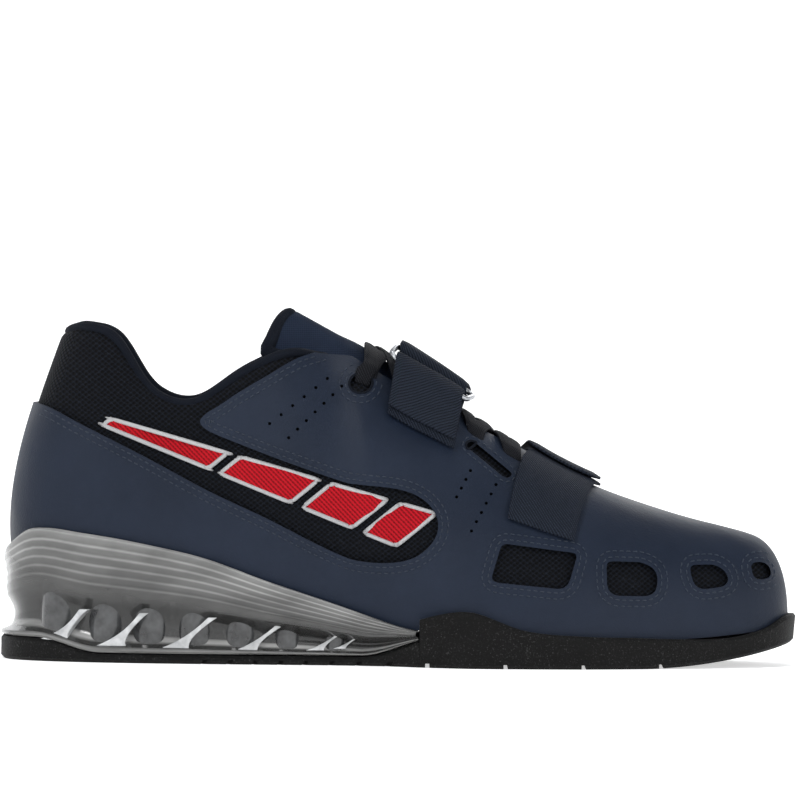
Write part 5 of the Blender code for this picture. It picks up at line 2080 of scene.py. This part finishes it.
def make_lace_ends():
    """The lace's top crossing, out of one top eyelet, over the tongue and into the other."""
    x, z = x_of(TOP_LACE_AT[0]), TOP_LACE_AT[1] * COLLAR_HEIGHT
    low = share_at(LATERAL, x, z)
    rows = []
    for k in range(TOP_LACE_STEPS + 1):
        part_way = k / TOP_LACE_STEPS
        side = LATERAL if part_way <= 0.5 else MEDIAL
        share = 1 - (1 - low) * abs(2 * part_way - 1)
        dive = TOP_LACE_DIVE * float(1 - smooth_step(share, low, low + 0.06))
        middle = x + TOP_LACE_BOW * float(smooth_step(share, low, low + 0.10))
        row = []
        for at in (middle - LACE_WIDTH / 2, middle + LACE_WIDTH / 2):
            lift = LEATHER + 2 * LAYER_GAP + LACE_THICKNESS * 0.8 + crest_lift(at, share)
            lift -= dive + 1.6 * lace_sink(at, share)
            row.append(over_sheet(side, share, at, lift))
        rows.append(row)
    lace = ribbon("lace_top", rows, LACE_THICKNESS)
    finish_piece(lace, lace_cloth, 50)


def make_eyelet_rims(leather_face):
    """Thin dark lining round the top eyelets and the slots."""
    for word, shares in (("eyelet", EYELET), ("slot", LACE_SLOT)):
        outline = rounded(side_points(shares), CUT_ROUNDING, 3)
        for side, half in ((LATERAL, "outer"), (MEDIAL, "inner")):
            path = []
            for x, z in moved_outline(outline, 0.0002):
                place, normal = side_hit(leather_face, x, z, side)
                near = place is not None and (not path or np.linalg.norm(place - path[-1]) < 0.006)
                if near:
                    path.append(place - normal * 0.0002)
            rim = soft_tube(f"{word}_lining_{half}", path, LINING_RADIUS, True)
            finish_piece(rim, binding_cloth, 0)


def dress_insole():
    paint = cloth_paint("insole_weave", (0.012, 0.013, 0.016), (0.035, 0.037, 0.042), 0.0009)
    for obj in bpy.data.objects:
        if obj.get("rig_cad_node") == "insole":
            obj.data.materials.clear()
            obj.data.materials.append(paint)


def make_trim():
    knit_face = surface_of(bpy.data.objects["fine_knit"])
    leather_face = surface_of(bpy.data.objects["leather"])
    make_stitches(leather_face, knit_face)
    make_eyelet_rims(leather_face)
    make_bar(knit_face)
    make_lace_ends()
    dress_insole()


# Camera, light and floor.
PHOTO_SCALE = 0.0003774
PHOTO_ROLL = 0.0122
VIEW_HEIGHT = 0.0988
VIEW_DISTANCE = 4.0
VIEW_RAISE = math.radians(1.2)
FLOOR_RADIUS = 5.2
WALL_BEND = 0.9
WALL_TOP = 4.0
BEND_STEPS = 10
STAGE_SIDES = 64
LIGHT_TARGET = (0, 0, 0.05)
LIGHTS = [
    # name   place             size        watts
    ("key", (-1.6, -2.2, 2.6), (1.2, 0.9), 50),
    ("fill", (2.4, -2.4, 1.2), (1.6, 1.2), 10),
    ("top", (0.2, 0.3, 2.8), (1.4, 1.0), 24),
    ("rim", (0.8, 2.6, 1.6), (1.6, 0.8), 14),
]


def make_camera():
    bpy.context.scene.view_settings.view_transform = "Standard"
    data = bpy.data.cameras.new("camera")
    data.sensor_width = 36
    width = 800 * PHOTO_SCALE
    data.lens = 36 * VIEW_DISTANCE / width
    data.clip_end = 50
    camera = bpy.data.objects.new("camera", data)
    bpy.context.scene.collection.objects.link(camera)
    target = Vector((0, 0, VIEW_HEIGHT))
    away = Vector((0, -math.cos(VIEW_RAISE), math.sin(VIEW_RAISE)))
    camera.location = target + away * VIEW_DISTANCE
    turn = (target - camera.location).to_track_quat("-Z", "Y")
    roll = Matrix.Rotation(PHOTO_ROLL, 4, "Z")
    camera.matrix_world = Matrix.Translation(camera.location) @ turn.to_matrix().to_4x4() @ roll
    bpy.context.scene.camera = camera


def make_light(name, place, size, power):
    data = bpy.data.lights.new(name, "AREA")
    data.shape = "RECTANGLE"
    data.size, data.size_y = size
    data.energy = power
    light = bpy.data.objects.new(name, data)
    bpy.context.scene.collection.objects.link(light)
    light.location = place
    light.rotation_euler = (Vector(LIGHT_TARGET) - Vector(place)).to_track_quat("-Z", "Y").to_euler()


def make_stage():
    """Pale floor that curves up into a pale wall far behind the shoe, on every side."""
    profile = [(0.0, 0.0), (FLOOR_RADIUS, 0.0)]
    for k in range(1, BEND_STEPS + 1):
        turn = math.pi / 2 * k / BEND_STEPS
        out = FLOOR_RADIUS + 2 * WALL_BEND * math.sin(turn)
        profile.append((out, WALL_BEND - WALL_BEND * math.cos(turn)))
    profile.append((FLOOR_RADIUS + 2 * WALL_BEND, WALL_TOP))
    points = []
    for k in range(STAGE_SIDES):
        angle = 2 * math.pi * k / STAGE_SIDES
        points += [(r * math.cos(angle), r * math.sin(angle), z) for r, z in profile]
    faces = []
    rows = len(profile)
    for k in range(STAGE_SIDES):
        a, b = k * rows, (k + 1) % STAGE_SIDES * rows
        faces += [(a + j, b + j, b + j + 1, a + j + 1) for j in range(rows - 1)]
    stage = add_object("studio", build_mesh("studio", points, faces))
    paint, _, shader = new_paint("pale_paper")
    shader.inputs["Base Color"].default_value = (0.86, 0.865, 0.87, 1)
    shader.inputs["Roughness"].default_value = 0.8
    shader.inputs["Emission Color"].default_value = (1, 1, 1, 1)
    shader.inputs["Emission Strength"].default_value = 0.55
    stage.data.materials.append(paint)
    stage.data.shade_smooth()


def make_world():
    world = bpy.data.worlds.new("studio_air")
    world.use_nodes = True
    background = world.node_tree.nodes["Background"]
    background.inputs["Color"].default_value = (0.93, 0.96, 1.0, 1)
    background.inputs["Strength"].default_value = 0.2
    bpy.context.scene.world = world


make_knit()
make_leather()
make_tongue()
make_collar_binding()
dress_straps()
make_lacing()
make_outsole()
make_wedge()
make_blades()
make_pins()
make_trim()

make_camera()
make_stage()
make_world()
for name, place, size, power in LIGHTS:
    make_light(name, place, size, power)
